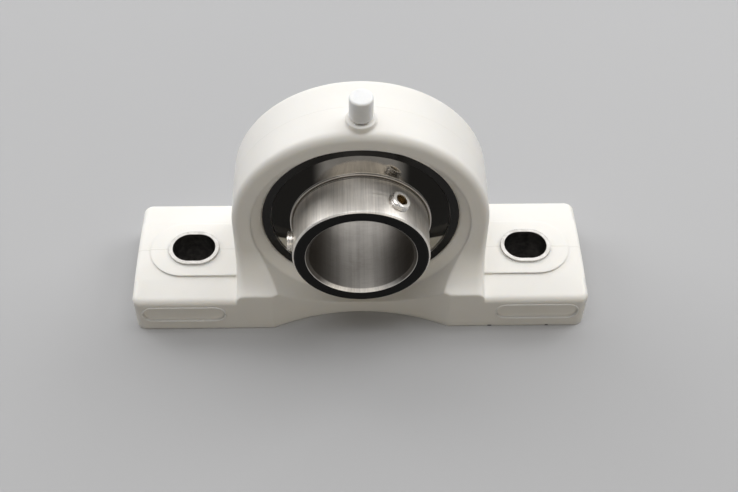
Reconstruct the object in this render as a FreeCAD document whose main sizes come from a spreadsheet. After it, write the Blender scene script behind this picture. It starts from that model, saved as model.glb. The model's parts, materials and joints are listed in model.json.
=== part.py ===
import FreeCAD, Part
import math
import os

import Sketcher

# Self-aligning ball bearing in a moulded pillow block housing.
# Frame: +X along the feet, -Y towards the long side of the inner ring (front), +Z up.
# Origin: middle of the two bolt holes, on the underside of the feet.

SHEET_NAME = "Sizes"

DRIVING_SIZES = {
    # Housing
    "shaft_height": 49.2,
    "foot_length": 184.0,
    "base_depth": 53.0,
    "foot_edge_height": 17.5,
    "foot_parting_height": 18.8,
    "foot_corner_radius": 4.0,
    "foot_edge_radius": 2.5,
    "arch_radius": 50.0,
    "arch_inset": 11.2,
    "arch_draft_angle": 0.8,
    "arch_edge_radius": 3.2,
    "flare_height": 20.6,
    "flare_radius": 17.5,
    "waist_half_width": 35.7,
    "waist_inset": 7.9,
    "mouth_radius": 42.5,
    "mouth_draft_angle": 5.0,
    "seat_half_width": 10.5,
    "seat_lead": 3.5,
    "seat_clearance": 0.06,
    "loading_slot_clearance": 0.4,
    "pad_height": 19.3,
    "pad_radius": 14.0,
    "pad_end_distance": 5.5,
    "plate_recess_length": 33.0,
    "plate_recess_height": 8.0,
    "plate_recess_depth": 0.8,
    "plate_recess_end_distance": 20.4,
    "plate_recess_centre_z": 9.6,
    # Bolt holes and their steel sleeves
    "bolt_end_distance": 23.5,
    "bolt_slot_width": 14.2,
    "bolt_slot_length": 17.6,
    "sleeve_wall": 1.5,
    "sleeve_clearance": 0.02,
    "sleeve_stand": 1.0,
    # Grease nipple
    "nipple_offset": 8.2,
    "nipple_boss_radius": 5.6,
    "nipple_boss_stand": 1.8,
    "nipple_thread_radius": 3.0,
    "nipple_thread_length": 5.5,
    "nipple_thread_clearance": 0.02,
    "nipple_hex_across_flats": 7.0,
    "nipple_hex_height": 1.3,
    "nipple_neck_radius": 2.1,
    "nipple_neck_height": 3.2,
    "nipple_head_radius": 3.2,
    "nipple_head_start": 4.1,
    "nipple_head_end": 6.0,
    "nipple_tip_radius": 1.5,
    "nipple_height": 8.0,
    "nipple_bore_radius": 1.25,
    "nipple_spring_seat_radius": 0.7,
    "nipple_spring_seat_depth": 4.0,
    "nipple_orifice_radius": 0.7,
    "nipple_orifice_start": 6.2,
    "nipple_ball_radius": 1.15,
    "nipple_ball_clearance": 0.03,
    "spring_wire_radius": 0.15,
    "spring_pitch": 1.3,
    "spring_seat_ratio": 0.6,
    "grease_duct_radius": 1.5,
    "cap_radius": 4.4,
    "cap_height": 9.0,
    "cap_edge_radius": 0.8,
    "cap_wall_top": 1.2,
    "cap_clearance": 0.1,
    # Outer ring
    "ring_sphere_radius": 40.0,
    "ring_width": 21.0,
    "ring_edge_chamfer": 0.5,
    "ring_land_radius": 34.2,
    "seal_seat_radius": 34.9,
    "seal_seat_start": 7.9,
    "seal_bead_radius": 35.4,
    "seal_bead_width": 0.9,
    "lube_offset": 7.0,
    "lube_groove_width": 2.4,
    "lube_groove_depth": 0.7,
    "lube_hole_radius": 0.8,
    # Inner ring
    "bore_radius": 20.0,
    "inner_ring_radius": 26.15,
    "inner_ring_front": 30.2,
    "inner_ring_rear": 19.0,
    "inner_ring_edge_chamfer": 0.6,
    "bore_chamfer": 1.3,
    # Balls, raceways and cage
    "ball_count": 9,
    "ball_radius": 5.953,
    "pitch_radius": 30.0,
    "raceway_radius": 6.2,
    "raceway_clearance": 0.04,
    "cage_thickness": 0.8,
    "cage_inner_gap": 1.15,
    "cage_outer_gap": 1.0,
    "cage_pocket_clearance": 0.2,
    "rivet_radius": 0.8,
    "rivet_head_radius": 1.6,
    "rivet_head_height": 0.6,
    "rivet_clearance": 0.02,
    # Seals and flingers
    "shield_inner_gap": 2.05,
    "shield_clearance": 0.05,
    "lip_clearance": 0.1,
    "lip_face_thickness": 0.4,
    "flinger_thickness": 0.5,
    "flinger_face": 10.0,
    "flinger_dish": 1.8,
    "flinger_collar_wall": 1.15,
    "flinger_collar_end": 12.6,
    "flinger_gap": 0.3,
    "flinger_fit": 0.02,
    # Set screws
    "screw_radius": 4.0,
    "screw_clearance": 0.03,
    "screw_length": 8.0,
    "screw_tip_gap": 0.2,
    "screw_from_face": 8.0,
    "screw_socket_across_flats": 4.0,
    "screw_socket_depth": 4.0,
    "screw_tip_radius": 2.6,
    "screw_tip_height": 1.4,
    "screw_edge_chamfer": 0.5,
    "screw_right_angle": 32.0,
    "screw_left_angle": -88.0,
}

# How far a cutting outline runs past the face that it opens, and how close to its
# expected place an edge must lie to be picked.
CUT_MARGIN = 10.0
SHORT_MARGIN = 1.0
PICK_TOLERANCE = 0.01
DRAFTED_PICK_TOLERANCE = 0.05

FULL_TURN = 360.0
HALF_TURN = 180.0
QUARTER_TURN = 90.0

doc = FreeCAD.newDocument("pillow_block")


class Size:
    """A length or angle together with the formula that gives it from the sheet's cells."""

    def __init__(self, value, formula):
        self.value = value
        self.formula = formula

    def __add__(self, other):
        other = as_size(other)
        return Size(self.value + other.value, f"({self.formula} + {other.formula})")

    def __sub__(self, other):
        other = as_size(other)
        return Size(self.value - other.value, f"({self.formula} - {other.formula})")

    def __mul__(self, other):
        other = as_size(other)
        return Size(self.value * other.value, f"({self.formula} * {other.formula})")

    def __truediv__(self, other):
        other = as_size(other)
        return Size(self.value / other.value, f"({self.formula} / {other.formula})")

    def __neg__(self):
        return Size(-self.value, f"(0 - {self.formula})")

    def root(self):
        return Size(math.sqrt(self.value), f"sqrt({self.formula})")

    def sine(self):
        return Size(math.sin(math.radians(self.value)), f"sin({self.formula})")

    def cosine(self):
        return Size(math.cos(math.radians(self.value)), f"cos({self.formula})")

    def tangent(self):
        return Size(math.tan(math.radians(self.value)), f"tan({self.formula})")


def as_size(number):
    if isinstance(number, Size):
        return number
    return Size(float(number), repr(float(number)))


def write_sheet():
    """Write each driving size into its own cell and return the sizes by name."""
    sheet = doc.addObject("Spreadsheet::Sheet", SHEET_NAME)
    sizes = {}
    for row, (name, value) in enumerate(DRIVING_SIZES.items(), start=1):
        sheet.set(f"A{row}", name)
        sheet.set(f"B{row}", str(value))
        sheet.setAlias(f"B{row}", name)
        sizes[name] = Size(float(value), f"{SHEET_NAME}.{name}")
    doc.recompute()
    return sizes


S = write_sheet()


def side_of_chord(radius, half_chord):
    """Distance from a circle's centre to a chord of that circle."""
    return (radius * radius - half_chord * half_chord).root()


# Sketch and feature helpers


def new_body(label):
    body = doc.addObject("PartDesign::Body", label)
    body.Label = label
    return body


def origin_feature(body, role):
    for feature in body.Origin.OriginFeatures:
        if feature.Role == role:
            return feature
    raise RuntimeError(f"{body.Label} has no {role}")


def new_sketch(body, name, role, lift=None, shift_y=None):
    """Sketch on an origin plane, lifted along its normal or moved along its own Y axis."""
    sketch = body.newObject("Sketcher::SketchObject", f"{body.Label}_{name}")
    sketch.AttachmentSupport = (origin_feature(body, role), [""])
    sketch.MapMode = "FlatFace"
    if lift is not None:
        sketch.setExpression("AttachmentOffset.Base.z", as_size(lift).formula)
    if shift_y is not None:
        sketch.setExpression("AttachmentOffset.Base.y", as_size(shift_y).formula)
    return sketch


def bind(sketch, constraint, size):
    index = sketch.addConstraint(constraint)
    sketch.setExpression(f"Constraints[{index}]", size.formula)


def fix_point(sketch, curve, end, place):
    """Tie one end of a curve to a place that the sheet gives."""
    x, y = (as_size(value) for value in place)
    if x.value == 0:
        sketch.addConstraint(Sketcher.Constraint("PointOnObject", curve, end, -2))
    else:
        bind(sketch, Sketcher.Constraint("DistanceX", -1, 1, curve, end, x.value), x)
    if y.value == 0:
        sketch.addConstraint(Sketcher.Constraint("PointOnObject", curve, end, -1))
    else:
        bind(sketch, Sketcher.Constraint("DistanceY", -1, 1, curve, end, y.value), y)


def fix_arc_centre(sketch, curve, start, end, centre):
    """Tie an arc's centre across its chord; its two ends fix the rest."""
    x, y = (as_size(value) for value in centre)
    run_x = abs(as_size(end[0]).value - as_size(start[0]).value)
    run_y = abs(as_size(end[1]).value - as_size(start[1]).value)
    if run_x > run_y:
        kind, axis, size = "DistanceY", -1, y
    else:
        kind, axis, size = "DistanceX", -2, x
    if size.value == 0:
        sketch.addConstraint(Sketcher.Constraint("PointOnObject", curve, 3, axis))
    else:
        bind(sketch, Sketcher.Constraint(kind, -1, 1, curve, 3, size.value), size)


def vector(place):
    return FreeCAD.Vector(as_size(place[0]).value, as_size(place[1]).value, 0)


def left_arc(start, end, centre):
    """Arc that turns left from start to end round centre."""
    middle = vector(centre)
    first = vector(start) - middle
    last = vector(end) - middle
    from_angle = math.atan2(first.y, first.x)
    to_angle = math.atan2(last.y, last.x)
    if to_angle <= from_angle:
        to_angle += math.radians(FULL_TURN)
    circle = Part.Circle(middle, FreeCAD.Vector(0, 0, 1), first.Length)
    return Part.ArcOfCircle(circle, from_angle, to_angle)


def outline(sketch, corners, arcs=None):
    """Closed outline through the corners.

    arcs gives, for the side that leaves corner number n, the arc's centre and whether
    it turns left. Every other side is straight.
    """
    arcs = arcs or {}
    ends = []
    for number, start in enumerate(corners):
        end = corners[(number + 1) % len(corners)]
        if number in arcs:
            centre, turns_left = arcs[number]
            if turns_left:
                curve = sketch.addGeometry(left_arc(start, end, centre))
                ends.append((curve, 1, 2))
            else:
                curve = sketch.addGeometry(left_arc(end, start, centre))
                ends.append((curve, 2, 1))
        else:
            curve = sketch.addGeometry(Part.LineSegment(vector(start), vector(end)))
            ends.append((curve, 1, 2))
    for number, (curve, first, last) in enumerate(ends):
        next_curve, next_first, _ = ends[(number + 1) % len(ends)]
        sketch.addConstraint(Sketcher.Constraint("Coincident", curve, last, next_curve, next_first))
        fix_point(sketch, curve, first, corners[number])
    for number, (centre, _) in arcs.items():
        curve = ends[number][0]
        end = corners[(number + 1) % len(corners)]
        fix_arc_centre(sketch, curve, corners[number], end, centre)


def circle(sketch, centre, radius):
    curve = sketch.addGeometry(
        Part.Circle(vector(centre), FreeCAD.Vector(0, 0, 1), as_size(radius).value))
    fix_point(sketch, curve, 3, centre)
    bind(sketch, Sketcher.Constraint("Radius", curve, as_size(radius).value), as_size(radius))


def slot(sketch, centre, half_length, radius):
    """Slot along the sketch's X axis with round ends."""
    x, y = (as_size(value) for value in centre)
    straight = half_length - radius
    corners = [
        (x - straight, y - radius),
        (x + straight, y - radius),
        (x + straight, y + radius),
        (x - straight, y + radius),
    ]
    outline(sketch, corners, {1: ((x + straight, y), True), 3: ((x - straight, y), True)})


def hexagon(sketch, across_flats):
    """Regular hexagon round the sketch's origin with two flats across its Y axis."""
    half_flat = as_size(across_flats) / 2
    half_side = half_flat / math.sqrt(3)
    corner = half_side * 2
    outline(sketch, [
        (corner, 0),
        (half_side, half_flat),
        (-half_side, half_flat),
        (-corner, 0),
        (-half_side, -half_flat),
        (half_side, -half_flat),
    ])


def add_feature(body, kind, name, profile):
    feature = body.newObject(f"PartDesign::{kind}", f"{body.Label}_{name}")
    feature.Profile = profile
    return feature


def pad(body, name, sketch, length, both_ways=False):
    feature = add_feature(body, "Pad", name, sketch)
    feature.Type = "Length"
    feature.setExpression("Length", as_size(length).formula)
    feature.Midplane = both_ways
    body.Tip = feature
    return feature


def pocket(body, name, sketch, length=None):
    """Cut along the sketch's normal reversed, or right through both ways with no length."""
    doc.recompute()
    before = body.Tip.Shape.Volume
    feature = add_feature(body, "Pocket", name, sketch)
    if length is None:
        feature.Type = "ThroughAll"
        feature.Midplane = True
    else:
        feature.Type = "Length"
        feature.setExpression("Length", as_size(length).formula)
    body.Tip = feature
    doc.recompute()
    if feature.Shape.isNull() or feature.Shape.Volume >= before:
        raise RuntimeError(f"{feature.Label} cuts nothing")
    return feature


def turn(body, kind, name, sketch, axis):
    """Revolution or Groove of a sketch round one of its own axes."""
    feature = add_feature(body, kind, name, sketch)
    feature.ReferenceAxis = (sketch, [axis])
    feature.Angle = FULL_TURN
    body.Tip = feature
    return feature


def mirror(body, name, feature, role):
    copy = body.newObject("PartDesign::Mirrored", f"{body.Label}_{name}")
    copy.Originals = [feature]
    copy.MirrorPlane = (origin_feature(body, role), [""])
    body.Tip = copy
    return copy


def polar(body, name, feature, role):
    """Copies of a feature round an origin axis, one for each ball."""
    copies = body.newObject("PartDesign::PolarPattern", f"{body.Label}_{name}")
    copies.Originals = [feature]
    copies.Axis = (origin_feature(body, role), [""])
    copies.Angle = FULL_TURN
    copies.setExpression("Occurrences", S["ball_count"].formula)
    body.Tip = copies
    return copies


def edges_where(shape, test):
    """Names of the edges whose ends and middle all pass the test."""
    names = []
    for number, edge in enumerate(shape.Edges, start=1):
        first, last = edge.ParameterRange
        points = [edge.valueAt(first), edge.valueAt((first + last) / 2), edge.valueAt(last)]
        if all(test(point) for point in points):
            names.append(f"Edge{number}")
    return names


def round_edges(body, name, radius, test):
    doc.recompute()
    base = body.Tip
    names = edges_where(base.Shape, test)
    if not names:
        raise RuntimeError(f"{name} finds no edge")
    feature = body.newObject("PartDesign::Fillet", f"{body.Label}_{name}")
    feature.Base = (base, names)
    feature.setExpression("Radius", radius.formula)
    body.Tip = feature
    doc.recompute()
    return feature


def put(part, x=None, y=None, z=None):
    """Bind a sub-part's place to the sheet."""
    for letter, size in (("x", x), ("y", y), ("z", z)):
        if size is not None:
            part.setExpression(f"Placement.Base.{letter}", as_size(size).formula)


# Housing

HALF_DEPTH = S["base_depth"] / 2
HALF_ARCH_DEPTH = HALF_DEPTH - S["arch_inset"]
HALF_FOOT = S["foot_length"] / 2
HALF_SPACING = HALF_FOOT - S["bolt_end_distance"]
HALF_RING_WIDTH = S["ring_width"] / 2
SEAT_RADIUS = S["ring_sphere_radius"] + S["seat_clearance"]
NIPPLE_Y = -S["nipple_offset"]
LUBE_Y = -S["lube_offset"]
NIPPLE_BOSS_TOP = S["shaft_height"] + S["arch_radius"] + S["nipple_boss_stand"]
SLEEVE_OUTER_RADIUS = S["bolt_slot_width"] / 2 + S["sleeve_wall"]
SLEEVE_HALF_LENGTH = S["bolt_slot_length"] / 2 + S["sleeve_wall"]


def add_feet(body):
    """One bar under the whole housing, crowned towards the mould's parting line."""
    crown = S["foot_parting_height"] - S["foot_edge_height"]
    crown_radius = (HALF_DEPTH * HALF_DEPTH + crown * crown) / (crown * 2)
    sketch = new_sketch(body, "foot_section", "YZ_Plane")
    outline(sketch, [
        (-HALF_DEPTH, 0),
        (HALF_DEPTH, 0),
        (HALF_DEPTH, S["foot_edge_height"]),
        (-HALF_DEPTH, S["foot_edge_height"]),
    ], {2: ((0, S["foot_parting_height"] - crown_radius), True)})
    pad(body, "feet", sketch, S["foot_length"], both_ways=True)
    half_length = S["foot_length"].value / 2
    half_depth = HALF_DEPTH.value
    middle_height = S["foot_edge_height"].value / 2

    def on_face(point):
        return abs(abs(point.y) - half_depth) < PICK_TOLERANCE

    def is_corner(point):
        return abs(abs(point.x) - half_length) < PICK_TOLERANCE and on_face(point)

    def is_long_top_edge(point):
        return on_face(point) and point.z > middle_height

    round_edges(body, "corners", S["foot_corner_radius"], is_corner)
    round_edges(body, "top_edges", S["foot_edge_radius"], is_long_top_edge)


def add_arch(body):
    """Arch over the ring: drafted both ways from the parting line, flared to the base."""
    sketch = new_sketch(body, "arch_outline", "XZ_Plane")
    radius = S["arch_radius"]
    height = S["shaft_height"]
    outline(sketch, [
        (-radius, 0),
        (radius, 0),
        (radius, height),
        (-radius, height),
    ], {2: ((0, height), True)})
    front = pad(body, "arch_front", sketch, HALF_DEPTH)
    front.setExpression("TaperAngle", (-S["arch_draft_angle"]).formula)
    rear = pad(body, "arch_rear", sketch, HALF_DEPTH)
    rear.Reversed = True
    rear.setExpression("TaperAngle", (-S["arch_draft_angle"]).formula)

    rise = side_of_chord(S["flare_radius"], S["flare_radius"] - S["arch_inset"])
    flare_top = S["flare_height"] + rise
    top = height + radius + CUT_MARGIN
    far = HALF_DEPTH + CUT_MARGIN
    centre_y = HALF_ARCH_DEPTH + S["flare_radius"]
    relief = new_sketch(body, "arch_side_relief", "YZ_Plane")
    outline(relief, [
        (-HALF_ARCH_DEPTH, top),
        (-HALF_ARCH_DEPTH, flare_top),
        (-HALF_DEPTH, S["flare_height"]),
        (-far, S["flare_height"]),
        (-far, top),
    ], {1: ((-centre_y, flare_top), False)})
    outline(relief, [
        (HALF_ARCH_DEPTH, top),
        (HALF_ARCH_DEPTH, flare_top),
        (HALF_DEPTH, S["flare_height"]),
        (far, S["flare_height"]),
        (far, top),
    ], {1: ((centre_y, flare_top), True)})
    pocket(body, "arch_sides", relief)


def round_arch(body):
    """Soft edge from the arch's outside to its two faces, down both sides of the flare."""
    reach = HALF_ARCH_DEPTH.value - PICK_TOLERANCE
    lowest = S["flare_height"].value - PICK_TOLERANCE
    height = S["shaft_height"].value
    taper = S["arch_draft_angle"].tangent().value

    def is_arch_edge(point):
        side = S["arch_radius"].value - taper * abs(point.y)
        out = abs(point.x) if point.z < height else math.hypot(point.x, point.z - height)
        on_side = abs(out - side) < DRAFTED_PICK_TOLERANCE
        return abs(point.y) > reach and point.z > lowest and on_side

    round_edges(body, "arch_edges", S["arch_edge_radius"], is_arch_edge)


def add_pads(body):
    """Flat pads round the bolt holes, proud of the sloping feet."""
    for side, sign in (("left", -1), ("right", 1)):
        sketch = new_sketch(body, f"{side}_pad_outline", "XY_Plane")
        radius = S["pad_radius"]
        near = S["arch_radius"] / 2 * sign
        far = (HALF_FOOT - S["pad_end_distance"] - radius) * sign
        corners = [(near, radius), (near, -radius), (far, -radius), (far, radius)]
        outline(sketch, corners, {2: ((far, 0), sign > 0)})
        pad(body, f"{side}_pad", sketch, S["pad_height"])


def add_nipple_boss(body):
    sketch = new_sketch(body, "nipple_boss_outline", "XY_Plane")
    circle(sketch, (0, NIPPLE_Y), S["nipple_boss_radius"])
    pad(body, "nipple_boss", sketch, NIPPLE_BOSS_TOP)


def cut_waist(body):
    """Hollow curve in plan between the feet, front and rear."""
    half_width = S["waist_half_width"]
    inset = S["waist_inset"]
    radius = (half_width * half_width + inset * inset) / (inset * 2)
    centre = HALF_DEPTH - inset + radius
    sketch = new_sketch(body, "waist_outline", "XY_Plane")
    circle(sketch, (0, -centre), radius)
    front = pocket(body, "waist_front", sketch)
    mirror(body, "waist_rear", front, "XZ_Plane")


def cut_seat(body):
    """Spherical seat for the outer ring, opening through two chamfers into the mouths."""
    far = HALF_DEPTH + CUT_MARGIN
    half_seat = S["seat_half_width"]
    seat_edge = side_of_chord(SEAT_RADIUS, half_seat)
    mouth = S["mouth_radius"]
    mouth_start = half_seat + S["seat_lead"]
    far_radius = mouth + (far - mouth_start) * S["mouth_draft_angle"].tangent()
    sketch = new_sketch(body, "seat_profile", "YZ_Plane", shift_y=S["shaft_height"])
    outline(sketch, [
        (-far, 0),
        (far, 0),
        (far, far_radius),
        (mouth_start, mouth),
        (half_seat, seat_edge),
        (-half_seat, seat_edge),
        (-mouth_start, mouth),
        (-far, far_radius),
    ], {4: ((0, 0), True)})
    turn(body, "Groove", "seat", sketch, "H_Axis")


def cut_loading_slots(body):
    """Two slots at the rear that let the ring in edge on, before it is turned upright."""
    sketch = new_sketch(body, "loading_slot_outline", "XZ_Plane", shift_y=S["shaft_height"])
    half_width = SEAT_RADIUS
    half_height = HALF_RING_WIDTH + S["loading_slot_clearance"]
    outline(sketch, [
        (-half_width, -half_height),
        (half_width, -half_height),
        (half_width, half_height),
        (-half_width, half_height),
    ])
    pocket(body, "loading_slots", sketch, HALF_DEPTH)


def cut_bolt_holes(body):
    for side, sign in (("left", -1), ("right", 1)):
        sketch = new_sketch(body, f"{side}_bolt_hole_outline", "XY_Plane")
        centre = (HALF_SPACING * sign, 0)
        half_length = SLEEVE_HALF_LENGTH + S["sleeve_clearance"]
        slot(sketch, centre, half_length, SLEEVE_OUTER_RADIUS + S["sleeve_clearance"])
        pocket(body, f"{side}_bolt_hole", sketch)


def cut_plate_recesses(body):
    """Shallow bare recesses on the front of the feet."""
    for side, sign in (("left", -1), ("right", 1)):
        sketch = new_sketch(body, f"{side}_recess_outline", "XZ_Plane", lift=HALF_DEPTH)
        centre_x = (HALF_FOOT - S["plate_recess_end_distance"]) * sign
        centre = (centre_x, S["plate_recess_centre_z"])
        slot(sketch, centre, S["plate_recess_length"] / 2, S["plate_recess_height"] / 2)
        pocket(body, f"{side}_recess", sketch, S["plate_recess_depth"])


def cut_grease_way(body):
    """Threaded hole for the nipple and the duct below it, down to the seat."""
    top = NIPPLE_BOSS_TOP
    thread = new_sketch(body, "nipple_hole_outline", "XY_Plane", lift=top)
    circle(thread, (0, NIPPLE_Y), S["nipple_thread_radius"] + S["nipple_thread_clearance"])
    pocket(body, "nipple_hole", thread, S["nipple_thread_length"])
    duct = new_sketch(body, "grease_duct_outline", "XY_Plane", lift=top)
    circle(duct, (0, NIPPLE_Y), S["grease_duct_radius"])
    pocket(body, "grease_duct", duct, top - S["shaft_height"])


def build_housing():
    body = new_body("housing")
    add_feet(body)
    add_arch(body)
    round_arch(body)
    add_pads(body)
    add_nipple_boss(body)
    cut_waist(body)
    cut_seat(body)
    cut_loading_slots(body)
    cut_bolt_holes(body)
    cut_plate_recesses(body)
    cut_grease_way(body)
    return body


# Bolt sleeves


def build_bolt_sleeve(side, sign):
    """Oval steel sleeve that takes the bolt's load through the foot."""
    body = new_body(f"bolt_sleeve_{side}")
    wall = new_sketch(body, "outer_outline", "XY_Plane")
    slot(wall, (0, 0), SLEEVE_HALF_LENGTH, SLEEVE_OUTER_RADIUS)
    pad(body, "wall", wall, S["pad_height"] + S["sleeve_stand"])
    hole = new_sketch(body, "slot_outline", "XY_Plane")
    slot(hole, (0, 0), S["bolt_slot_length"] / 2, S["bolt_slot_width"] / 2)
    pocket(body, "slot", hole)
    put(body, x=HALF_SPACING * sign)
    return body


# Grease nipple


def build_nipple_body():
    """Hexagon, thread and head in one turned piece, bored for the check valve."""
    body = new_body("nipple_body")
    profile = new_sketch(body, "turned_profile", "XZ_Plane")
    outline(profile, [
        (0, -S["nipple_thread_length"]),
        (S["nipple_thread_radius"], -S["nipple_thread_length"]),
        (S["nipple_thread_radius"], 0),
        (S["nipple_neck_radius"], 0),
        (S["nipple_neck_radius"], S["nipple_neck_height"]),
        (S["nipple_head_radius"], S["nipple_head_start"]),
        (S["nipple_head_radius"], S["nipple_head_end"]),
        (S["nipple_tip_radius"], S["nipple_height"]),
        (0, S["nipple_height"]),
    ])
    turn(body, "Revolution", "turned", profile, "V_Axis")
    hex_outline = new_sketch(body, "hexagon_outline", "XY_Plane")
    hexagon(hex_outline, S["nipple_hex_across_flats"])
    pad(body, "hexagon", hex_outline, S["nipple_hex_height"])
    bore = new_sketch(body, "bore_profile", "XZ_Plane")
    low = -(S["nipple_thread_length"] + SHORT_MARGIN)
    high = S["nipple_height"] + SHORT_MARGIN
    seat_top = S["nipple_orifice_start"]
    seat_bottom = seat_top - (S["nipple_bore_radius"] - S["nipple_orifice_radius"])
    outline(bore, [
        (0, low),
        (S["nipple_spring_seat_radius"], low),
        (S["nipple_spring_seat_radius"], -S["nipple_spring_seat_depth"]),
        (S["nipple_bore_radius"], -S["nipple_spring_seat_depth"]),
        (S["nipple_bore_radius"], seat_bottom),
        (S["nipple_orifice_radius"], seat_top),
        (S["nipple_orifice_radius"], high),
        (0, high),
    ])
    turn(body, "Groove", "bore", bore, "V_Axis")
    put(body, y=NIPPLE_Y, z=NIPPLE_BOSS_TOP)
    return body


# The ball closes the conical seat below the orifice: its centre lies where the
# gap to the cone, which stands at 45 degrees, is the ball's clearance.
BALL_REST = (
    NIPPLE_BOSS_TOP + S["nipple_orifice_start"] + S["nipple_orifice_radius"]
    - (S["nipple_ball_radius"] + S["nipple_ball_clearance"]) * math.sqrt(2)
)
SPRING_BOTTOM = NIPPLE_BOSS_TOP - S["nipple_spring_seat_depth"]


def build_nipple_ball():
    ball = doc.addObject("Part::Sphere", "nipple_check_ball")
    ball.setExpression("Radius", S["nipple_ball_radius"].formula)
    put(ball, y=NIPPLE_Y, z=BALL_REST)
    return ball


def build_nipple_spring():
    """Coil spring between the foot of the bore and the check ball."""
    gap = S["nipple_ball_clearance"]
    wire = S["spring_wire_radius"]
    coil_radius = S["nipple_bore_radius"] - wire - gap * 2
    bottom = SPRING_BOTTOM + wire + gap
    top = BALL_REST - S["nipple_ball_radius"] * S["spring_seat_ratio"] - wire
    helix = doc.addObject("Part::Helix", "nipple_spring_line")
    helix.setExpression("Radius", coil_radius.formula)
    helix.setExpression("Pitch", S["spring_pitch"].formula)
    helix.setExpression("Height", (top - bottom).formula)
    section = doc.addObject("Part::Circle", "nipple_spring_wire")
    section.setExpression("Radius", wire.formula)
    section.Placement = FreeCAD.Placement(
        FreeCAD.Vector(coil_radius.value, 0, 0),
        FreeCAD.Rotation(FreeCAD.Vector(1, 0, 0), QUARTER_TURN))
    section.setExpression("Placement.Base.x", coil_radius.formula)
    spring = doc.addObject("Part::Sweep", "nipple_spring")
    spring.Sections = [section]
    spring.Spine = helix
    spring.Solid = True
    spring.Frenet = True
    put(spring, y=NIPPLE_Y, z=bottom)
    return spring


def build_nipple_cap():
    """Plastic dust cap pushed over the nipple's head and resting on the hexagon."""
    body = new_body("nipple_cap")
    radius = S["cap_radius"]
    height = S["cap_height"]
    edge = S["cap_edge_radius"]
    inner = S["nipple_head_radius"] + S["cap_clearance"]
    profile = new_sketch(body, "turned_profile", "XZ_Plane")
    outline(profile, [
        (inner, 0),
        (radius, 0),
        (radius, height - edge),
        (radius - edge, height),
        (0, height),
        (0, height - S["cap_wall_top"]),
        (inner, height - S["cap_wall_top"]),
    ], {2: ((radius - edge, height - edge), True)})
    turn(body, "Revolution", "turned", profile, "V_Axis")
    put(body, y=NIPPLE_Y,
        z=NIPPLE_BOSS_TOP + S["nipple_hex_height"] + S["nipple_ball_clearance"])
    return body


# Rings: each profile lies in the YZ plane, with Y along the shaft and the other
# axis as the distance from it. Raceways are round grooves over the balls' circle.


def build_outer_ring():
    body = new_body("outer_ring")
    half = HALF_RING_WIDTH
    chamfer = S["ring_edge_chamfer"]
    sphere = S["ring_sphere_radius"]
    seal_seat = S["seal_seat_radius"]
    bead = S["seal_bead_radius"]
    land = S["ring_land_radius"]
    start = S["seal_seat_start"]
    bead_end = start + S["seal_bead_width"]
    shoulder = half - chamfer
    rim = side_of_chord(sphere, shoulder)
    bottom = S["pitch_radius"] + S["ball_radius"] + S["raceway_clearance"]
    centre = bottom - S["raceway_radius"]
    groove = side_of_chord(S["raceway_radius"], land - centre)
    profile = new_sketch(body, "ring_profile", "YZ_Plane")
    outline(profile, [
        (-half, seal_seat),
        (-bead_end, seal_seat),
        (-bead_end, bead),
        (-start, bead),
        (-start, land),
        (-groove, land),
        (groove, land),
        (start, land),
        (start, bead),
        (bead_end, bead),
        (bead_end, seal_seat),
        (half, seal_seat),
        (half, rim - chamfer),
        (shoulder, rim),
        (-shoulder, rim),
        (-half, rim - chamfer),
    ], {5: ((0, centre), False), 13: ((0, 0), True)})
    turn(body, "Revolution", "ring", profile, "H_Axis")
    groove_half = S["lube_groove_width"] / 2
    groove_out = sphere + SHORT_MARGIN
    groove_in = side_of_chord(sphere, S["lube_offset"]) - S["lube_groove_depth"]
    lube = new_sketch(body, "lube_groove_profile", "YZ_Plane")
    outline(lube, [
        (LUBE_Y - groove_half, groove_in),
        (LUBE_Y + groove_half, groove_in),
        (LUBE_Y + groove_half, groove_out),
        (LUBE_Y - groove_half, groove_out),
    ])
    turn(body, "Groove", "lube_groove", lube, "H_Axis")
    hole = new_sketch(body, "lube_hole_outline", "XY_Plane", lift=groove_out)
    circle(hole, (0, LUBE_Y), S["lube_hole_radius"])
    pocket(body, "lube_hole", hole, groove_out - S["pitch_radius"])
    put(body, z=S["shaft_height"])
    return body


SCREW_Y = S["screw_from_face"] - S["inner_ring_front"]
SCREW_ANGLES = (("right", S["screw_right_angle"]), ("left", S["screw_left_angle"]))


def build_inner_ring():
    body = new_body("inner_ring")
    front = S["inner_ring_front"]
    rear = S["inner_ring_rear"]
    bore = S["bore_radius"]
    land = S["inner_ring_radius"]
    edge = S["inner_ring_edge_chamfer"]
    lead = S["bore_chamfer"]
    bottom = S["pitch_radius"] - S["ball_radius"] - S["raceway_clearance"]
    centre = bottom + S["raceway_radius"]
    groove = side_of_chord(S["raceway_radius"], centre - land)
    profile = new_sketch(body, "ring_profile", "YZ_Plane")
    outline(profile, [
        (lead - front, bore),
        (rear - lead, bore),
        (rear, bore + lead),
        (rear, land - edge),
        (rear - edge, land),
        (groove, land),
        (-groove, land),
        (edge - front, land),
        (-front, land - edge),
        (-front, bore + lead),
    ], {5: ((0, centre), False)})
    turn(body, "Revolution", "ring", profile, "H_Axis")
    for side, angle in SCREW_ANGLES:
        hole = body.newObject("PartDesign::SubtractiveCylinder", f"inner_ring_{side}_screw_hole")
        hole.AttachmentSupport = (origin_feature(body, "XY_Plane"), [""])
        hole.MapMode = "FlatFace"
        hole.AttachmentOffset = FreeCAD.Placement(
            FreeCAD.Vector(0, SCREW_Y.value, 0),
            FreeCAD.Rotation(FreeCAD.Vector(0, 1, 0), angle.value))
        hole.setExpression("AttachmentOffset.Base.y", SCREW_Y.formula)
        hole.setExpression("AttachmentOffset.Rotation.Angle", angle.formula)
        hole.setExpression("Radius", (S["screw_radius"] + S["screw_clearance"]).formula)
        hole.setExpression("Height", (land * 2).formula)
        body.Tip = hole
    put(body, z=S["shaft_height"])
    return body


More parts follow.
